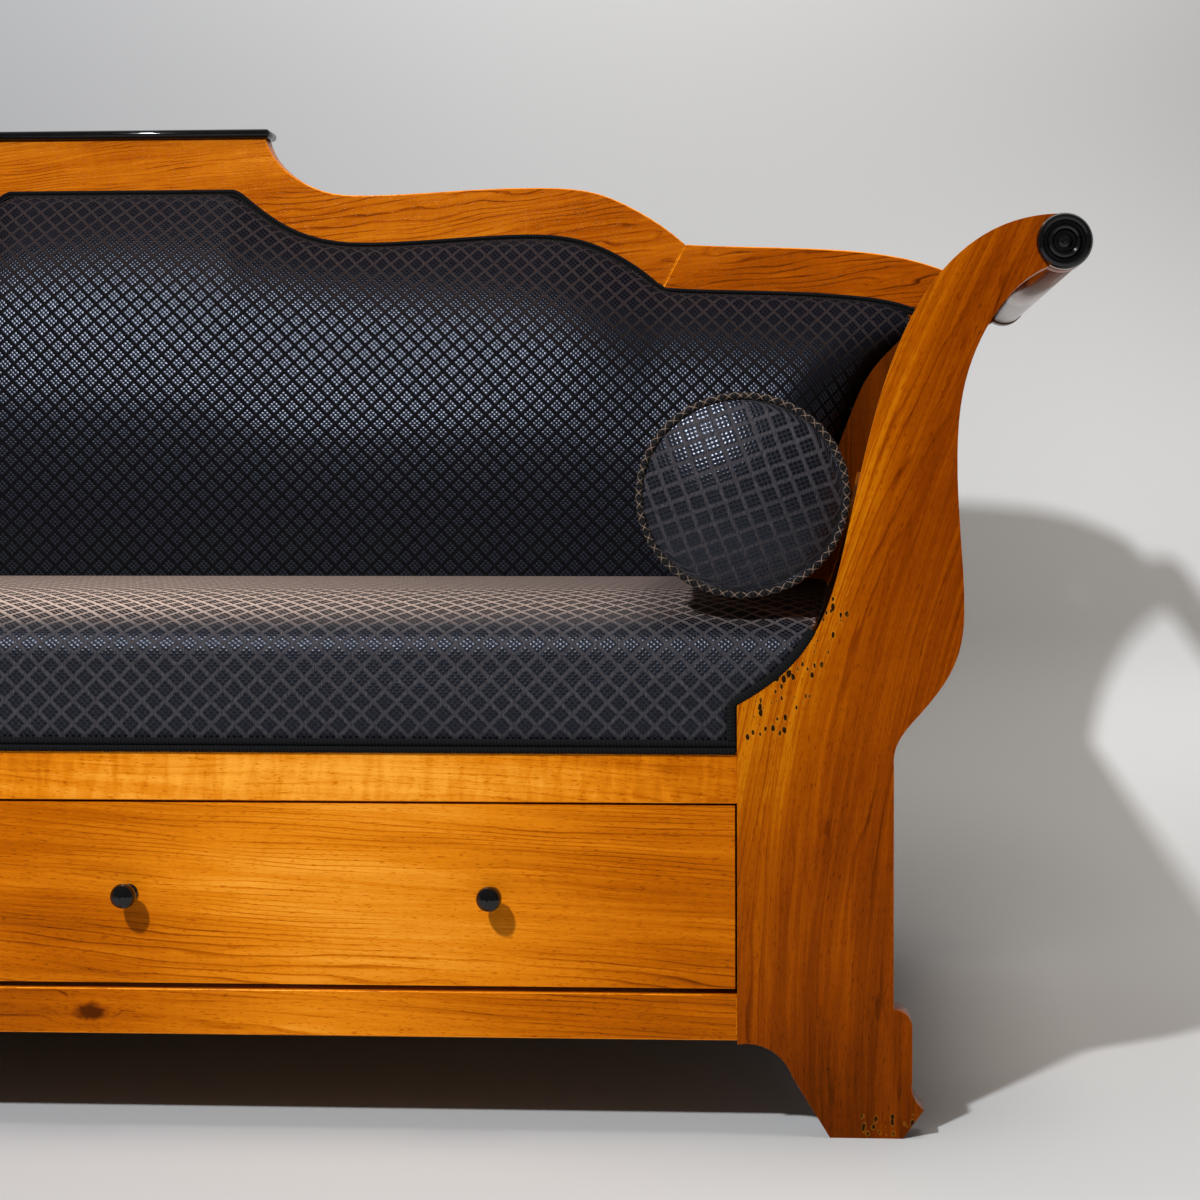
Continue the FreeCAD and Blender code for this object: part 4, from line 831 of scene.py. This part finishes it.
# %% [markdown]
# Bolsters: loose rolls with domed ends. A profile of (depth, radius) points is turned round the roll's own
# axis. The ends carry the cloth flat, the roll carries it wrapped round. Lying on the seat, a bolster is a
# little wider than high, so it is stretched towards the middle of the sofa.

# %% Bolsters
RIM_IN = 2 * MM             # the ends are drawn in by this
DOME = 24 * MM
DOME_ROOM = 1 * MM          # the domes end this far inside the modelled roll
SEAM = 0.2 * MM             # the roll stands over its ends by this
BOLSTER_SWELL = 2 * MM
BOLSTER_WIDE = 1.045        # width over height
DOME_POINTS = 13
ROLL_POINTS = 42


def lying(x, side, lo, hi):
    """Stretch places on the X axis away from the arm, by the share that a bolster is wider than high."""
    outer = hi.x if side == "right" else lo.x
    return outer + BOLSTER_WIDE * (x - outer)


bolster_cloth = horsehair("horsehair_bolster", -20, ("#202024", "#484549"), None, 0.12, hair_gloss=0.5)
for side in ("right", "left"):
    lo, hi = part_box("bolster_" + side)
    axis_x, axis_z = (lo.x + hi.x) / 2, (lo.z + hi.z) / 2
    full = (hi.z - lo.z) / 2 - BOLSTER_SWELL
    rim = full - RIM_IN
    front, rear = lo.y + DOME + DOME_ROOM, hi.y - DOME - DOME_ROOM
    r = np.linspace(0, rim, DOME_POINTS)
    dome = DOME * (1 - (r / rim) ** 2.1)
    t = np.linspace(0, 1, ROLL_POINTS)
    roll_y = front + t * (rear - front)
    roll_r = rim + RIM_IN * 4 * t * (1 - t) + SEAM
    profile_y = np.concatenate([front - dome, roll_y, rear + dome[::-1]])[:, None]
    profile_r = np.concatenate([r, roll_r, r[::-1]])[:, None]
    angle = np.linspace(0, 2 * math.pi, 73)[None, :]
    flat_x, flat_z = profile_r * np.sin(angle), -profile_r * np.cos(angle)
    points = grid(lying(axis_x + flat_x, side, lo, hi), profile_y, axis_z + flat_z)
    place = np.arange(len(profile_y))[:, None, None]
    on_roll = (place >= DOME_POINTS) & (place < DOME_POINTS + ROLL_POINTS)
    uv = np.where(on_roll, grid(full * angle, profile_y), grid(flat_x, flat_z))
    roll = cloth_mesh("bolster_cushion_" + side, [(points[:, :-1], uv, True)], bolster_cloth,
                      ["bolster_" + side], "bolster_" + side)
    stuffed(roll, lambda p: (abs(p[:, 1] - front) < 1 * MM) | (abs(p[:, 1] - rear) < 1 * MM), BOLSTER_SWELL)

# %% [markdown]
# Cords and braids. A cord is a ring whose section turns as it goes, so its plies wind round it. A braid is a
# strip of half-round rows along a line, and each row is ribbed on the slant.

# %% Cord rings
CORD_R = 3.1 * MM
PLIES = 3
LAY = 22 * MM               # way along the ring for one whole turn of the plies
CORD_OUT = 5 * MM           # the cord lies this far out on the dome

cord_yarn = yarn("black_cord", 3 * MM, "#070709", "#1e1b1d", thread=("#98806f", 10 * MM, 0.6 * MM))
for side in ("right", "left"):
    lo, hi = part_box("bolster_cords_" + side)
    ring_r = (hi.z - lo.z) / 2 - CORD_R
    turn_count = round(2 * math.pi * ring_r / LAY)
    theta = np.linspace(0, 2 * math.pi, 361)[:, None]
    phi = np.linspace(0, 2 * math.pi, 19)[None, :]
    section_r = CORD_R * (0.86 + 0.14 * np.abs(np.cos(PLIES / 2 * phi + turn_count / 2 * theta)))
    out = ring_r + section_r * np.cos(phi)
    across = lying((lo.x + hi.x) / 2 + out * np.sin(theta), side, lo, hi)
    patches = []
    for y in (lo.y + DOME - CORD_OUT, hi.y - DOME + CORD_OUT):
        points = grid(across, y + section_r * np.sin(phi), (lo.z + hi.z) / 2 + out * np.cos(theta))
        uv = grid(ring_r * theta, phi / (2 * math.pi))
        patches.append((points[:, :-1], uv, True))
    cloth_mesh("bolster_cord_" + side, patches, cord_yarn, ["bolster_cords_" + side], "bolster_" + side)


# %% Braids
RIB_PITCH = 3.2 * MM
BRAID_STEP = 0.8 * MM       # grid step along a braid


def braid_patch(path, rows, width, thick, front):
    """Strip of half-round rows along a path of (x, z) points, ribbed on the slant.

    Across one row a goes from -1 to 1, and |sin| goes up and down with the ribs. A row stands out by
    thick (0.15 + 0.85 sqrt(1 - a^2) (0.72 + 0.28 |sin|)).
    """
    way = run_length(path)
    s = np.linspace(0, way[-1], int(way[-1] / BRAID_STEP))
    x, z = np.interp(s, way, path[:, 0]), np.interp(s, way, path[:, 1])
    heading = grid(np.gradient(x), np.gradient(z))
    heading /= np.linalg.norm(heading, axis=1, keepdims=True)
    a = np.linspace(-1, 1, 7)
    place = np.concatenate([(2 * i + 1 + a - rows) / rows * width / 2 for i in range(rows)])
    inside = np.tile(a, rows)
    slant = np.repeat([1 if i % 2 else -1 for i in range(rows)], len(a))
    rib = np.abs(np.sin(math.pi * (s[:, None] / RIB_PITCH + 0.6 * slant * inside)))
    rise = thick * (0.15 + 0.85 * np.sqrt(1 - inside ** 2) * (0.72 + 0.28 * rib))
    px = x[:, None] - heading[:, 1:] * place
    pz = z[:, None] + heading[:, :1] * place
    top = grid(px, front - rise, pz)
    back_side = grid(px, front, pz)[:, ::-1][:, 1:-1]
    points = np.concatenate([top, back_side], 1)
    sides = np.linspace(0, 1, points.shape[1] + 1)
    uv = grid(s[:, None], sides[None, :])
    return points, uv, True


LOW_GIMP = 12.5 * MM        # width of the double gimp under the seat's border
LOW_GIMP_THICK = 3.7 * MM
SIDE_GIMP = 8.5 * MM        # and of the single one along the arms
BACK_GIMP = 9 * MM
GIMP_THICK = 3.6 * MM
GIMP_LINE = 6.3 * MM        # height of the low gimp's middle
GIMP_IN = 4.5 * MM          # the side gimp's middle lies this far inside the arm

gimp = yarn("black_gimp", RIB_PITCH, "#030304", "#0e0e11")
lo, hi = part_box("seat_braid")
heights, _, widths = outline("seat_pad", along=2, across=0)
end_x = widths[1] - 1 * MM
low = np.array([[-end_x, lo.z + GIMP_LINE], [end_x, lo.z + GIMP_LINE]])
patches = [braid_patch(low, 2, LOW_GIMP, LOW_GIMP_THICK, hi.y)]
rise = np.linspace(lo.z + LOW_GIMP, hi.z, 60)
shoulder = np.interp(rise, heights, widths) - GIMP_IN
for sign in (1, -1):
    patches.append(braid_patch(grid(sign * shoulder, rise), 1, SIDE_GIMP, GIMP_THICK, hi.y))
cloth_mesh("seat_gimp", patches, gimp, ["seat_braid"])
lo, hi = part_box("back_braid")
path = grid(line_x, (braid_low + braid_high) / 2)
cloth_mesh("back_gimp", [braid_patch(path, 2, BACK_GIMP, GIMP_THICK, hi.y)], gimp, ["back_braid"])


# %% [markdown]
# Hidden cloth: jute straps under the pads, woven over and under each other, and black cotton over the back,
# which is nailed all round and dips a little between its nails.

# %% Straps
STRAP_WIDTH = 60 * MM
STRAP_THICK = 1.2 * MM
STRAP_RISE = 0.9 * MM       # how far straps rise and fall where they cross
STRAP_MARGIN = 12 * MM      # the long straps keep this far from the seat frame's front and rear
DEEP_STRAPS = 12
LONG_STRAPS = 5
BACK_STRAPS = 8


def strap_patch(start, end, crossings=2, rise=0.0, phase=0):
    """Flat strap from start to end. It rises and falls by rise cos(pi (n t + phase)) at its n crossings."""
    start, end = np.array(start), np.array(end)
    t = np.linspace(0, 1, 8 * max(crossings, 2) + 1)[:, None]
    way = (end - start) / np.linalg.norm(end - start)
    up = np.array([0, 0, 1]) if abs(way[2]) < 0.5 else np.array([0, -1, 0])
    side = np.cross(way, up)
    lift = rise * np.cos(math.pi * (crossings * t + phase))
    corner = np.array([[-1, -1], [1, -1], [1, 1], [-1, 1]]) / 2
    points = (start + t * (end - start))[:, None] + lift[..., None] * up
    points = points + corner[None, :, :1] * STRAP_WIDTH * side + corner[None, :, 1:] * STRAP_THICK * up
    uv = grid(t * np.linalg.norm(end - start), np.linspace(0, STRAP_WIDTH, 5)[None, :])
    return points, uv, True


lo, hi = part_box("seat_webbing")
middle = (lo.z + hi.z) / 2
patches = []
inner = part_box("seat_rail_right")[0].x
for i in range(DEEP_STRAPS):
    x = (i - (DEEP_STRAPS - 1) / 2) * 2 * inner / DEEP_STRAPS
    patches.append(strap_patch((x, lo.y, middle), (x, hi.y, middle), LONG_STRAPS, STRAP_RISE, i % 2))
for i in range(LONG_STRAPS):
    y = lo.y + STRAP_MARGIN + (i + 0.5) * (hi.y - lo.y - 2 * STRAP_MARGIN) / LONG_STRAPS
    patches.append(strap_patch((lo.x, y, middle), (hi.x, y, middle), DEEP_STRAPS, STRAP_RISE, i % 2))
cloth_mesh("seat_straps", patches, jute, ["seat_webbing"])
lo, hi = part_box("back_webbing")
y = (lo.y + hi.y) / 2
reach = hi.x - STRAP_WIDTH / 2
patches = [strap_patch((x, y, lo.z), (x, y, hi.z)) for x in np.linspace(-reach, reach, BACK_STRAPS)]
cloth_mesh("back_straps", patches, jute, ["back_webbing"])

# %% Lining
LINING_DIP = 5 * MM     # it dips between the tacking rail, the crest, the posts and the muntin
LINING_LAP = 22 * MM    # and lies flat on their edges
LINING_WAVE = 0.6 * MM  # with faint waves

lo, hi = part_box("back_lining")
line_x, _, top = outline("back_lining", along=0, across=2)
u = np.linspace(-1, 1, 121)[:, None]
v = np.linspace(0, 1, 61)[None, :]
x = u * hi.x + 0 * v
z = lo.z + v * (np.interp(x, line_x, top) - lo.z)
bay_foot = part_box("back_tacking_rail")[1].z + LINING_LAP / 2
bay_top = np.interp(x, line_x, top) - LINING_LAP
bay_v = np.clip((z - bay_foot) / (bay_top - bay_foot), 0, 1)
bays = np.sin(math.pi * np.clip(np.abs(u) * 1.10 - 0.06, 0, 1)) ** 2 * np.sin(math.pi * bay_v) ** 2
dip = bays * (LINING_DIP + LINING_WAVE * np.sin(40 * u + 9 * v))
lining = cloth_mesh("back_lining_cloth", [(grid(x, hi.y - dip, z), grid(x, z), False)], cotton,
                    ["back_lining"])
if lining.data.polygons[0].normal.y < 0:
    lining.data.flip_normals()


# %% [markdown]
# Floor and backdrop are one pale sheet with a long curve between them. The backdrop lies close behind the
# sofa, as its shadow shows. It casts no shadow itself, so that the sofa's back keeps its light, and its far
# side is clear, so that a camera behind it sees the sofa.

# %% Floor and backdrop
SWEEP_R = 0.35
WALL_Y = 0.80
WALL_TOP = 6.0
STUDIO = 9.0            # how far the sheet reaches to each side and to the front
PAPER_FALLOFF_RAMP = [(0.0, "#a3a4a8"), (1.0, "#d2d2d2")]
PAPER_SHADE = "#8e8e8e"


def pale_paper(name):
    """Matt studio paper with painted shade: greyer at the left and towards the top right, where the light
    falls off. Its far side is clear.
    """
    material, tree, shader = finish(name)
    place = add(tree, "TexCoord", out="Object")
    x = add(tree, "SeparateXYZ", {0: place}, out="X")
    z = add(tree, "SeparateXYZ", {0: place}, out="Z")
    # Painted shade: grey at the left turning pale at the right, and a grey top-right corner, where the light
    # falls off.
    left = add(tree, "MapRange", {0: x, 1: -0.6, 2: 1.2})
    colour = add(tree, "ValToRGB", {0: left}, stops=PAPER_FALLOFF_RAMP)
    right = add(tree, "MapRange", {0: x, 1: 0.3, 2: 1.7, 3: 0.4, 4: 1.0}, **SMOOTH)
    high = add(tree, "MapRange", {0: z, 1: 0.45, 2: 1.15}, **SMOOTH)
    corner = add(tree, "Math", {0: right, 1: high}, operation="MULTIPLY")
    floor = add(tree, "MapRange", {0: z, 1: 0.0, 2: 0.3, 3: 0.45, 4: 0.0}, **SMOOTH)
    grey = add(tree, "Math", {0: corner, 1: 0.8, 2: floor}, operation="MULTIPLY_ADD")
    colour = add(tree, "Mix", {"Factor": grey, "A": colour, "B": paint(PAPER_SHADE)}, **BLEND)
    plug(tree, shader, Base_Color=colour, Roughness=0.9)
    behind = add(tree, "NewGeometry", out="Backfacing")
    clear = add(tree, "BsdfTransparent")
    shown = add(tree, "MixShader", {0: behind, 1: shader.outputs[0], 2: clear})
    tree.links.new(shown, tree.nodes["Material Output"].inputs["Surface"])
    return material


def strip(name, path, material):
    """Sheet as wide as the studio along a path of (y, z) points."""
    mesh = bpy.data.meshes.new(name)
    points = [(x, y, z) for x in (-STUDIO, STUDIO) for y, z in path]
    count = len(path)
    mesh.from_pydata(points, [], [(i + 1, i, i + count, i + count + 1) for i in range(count - 1)])
    mesh.materials.append(material)
    mesh.shade_smooth()
    sheet = bpy.data.objects.new(name, mesh)
    bpy.context.scene.collection.objects.link(sheet)
    return sheet


turn = np.linspace(0, math.pi / 2, 13)
sweep = grid(WALL_Y - SWEEP_R + SWEEP_R * np.sin(turn), SWEEP_R - SWEEP_R * np.cos(turn))
run = np.concatenate([[[-STUDIO, 0.0]], sweep, [[WALL_Y, WALL_TOP]]])
backdrop = strip("backdrop", run, pale_paper("pale_paper"))
backdrop.visible_shadow = False
print("backdrop stands at y =", WALL_Y)

# %% [markdown]
# Light and camera. One small softbox stands high on the left, and gives the glints and the large shadow. A
# broad panel overhead lifts the seat, and it is left out of reflections, because it should not add a second
# glint to the hair. A pale room fills the shadows. The camera stands in front of the right arm and looks a
# little to the left, so the sofa's left half is out of view.

# %% Light
KEY_AT = (-0.62, -2.60, 2.92)
KEY_AIM = (0.45, -0.2, 0.45)
KEY_SIZE = 0.20
KEY_WATTS = 158
KEY_TINT = (0.95, 0.98, 1.0)
TOP_AT = (0.9, -0.25, 2.9)
TOP_SIZE = 1.2
TOP_WATTS = 50
TOP_TINT = (1.0, 0.95, 0.88)
FILL = 0.14


def round_lamp(name, place, size, watts, tint):
    """Round area lamp that shines straight down from its place."""
    lamp = bpy.data.lights.new(name, "AREA")
    lamp.shape = "DISK"
    lamp.size = size
    lamp.energy = watts
    lamp.color = tint
    stand = bpy.data.objects.new(name, lamp)
    bpy.context.scene.collection.objects.link(stand)
    stand.location = place
    return stand


softbox = round_lamp("softbox", KEY_AT, KEY_SIZE, KEY_WATTS, KEY_TINT)
across, back_way, drop = np.subtract(KEY_AIM, KEY_AT)
pitch = math.atan2(math.hypot(across, back_way), -drop)
softbox.rotation_euler = (pitch, 0, -math.atan2(across, back_way))
panel = round_lamp("overhead", TOP_AT, TOP_SIZE, TOP_WATTS, TOP_TINT)
panel.visible_glossy = False

world = bpy.data.worlds.new("studio")
world.use_nodes = True
bpy.context.scene.world = world
sky = world.node_tree
sky.nodes.clear()
ray = add(sky, "LightPath", out="Is Camera Ray")
room = add(sky, "Background", {"Color": paint("#fbf4ec"), "Strength": FILL})
view = add(sky, "Background", {"Color": paint("#d0d0d2"), "Strength": 1.0})
both = add(sky, "MixShader", {0: ray, 1: room, 2: view})
output = sky.nodes.new("ShaderNodeOutputWorld")
sky.links.new(both, output.inputs["Surface"])
print("softbox points down by", round(90 - math.degrees(pitch)), "degrees")

# %% Camera
CAMERA_AT = (0.847, -2.180, 0.5665)
CAMERA_YAW = 3.0
CAMERA_PITCH = 2.38
CAMERA_ROLL = 0.10
CAMERA_LENS = 65.0
CAMERA_SHIFT = (-0.107, -0.030)
eye = bpy.data.cameras.new("camera")
eye.lens = CAMERA_LENS
eye.sensor_width = 36
eye.shift_x, eye.shift_y = CAMERA_SHIFT
camera = bpy.data.objects.new("camera", eye)
bpy.context.scene.collection.objects.link(camera)
camera.location = CAMERA_AT
camera.rotation_euler = [math.radians(part) for part in (90 - CAMERA_PITCH, CAMERA_ROLL, CAMERA_YAW)]
bpy.context.scene.camera = camera
bpy.context.scene.view_settings.view_transform = "Standard"
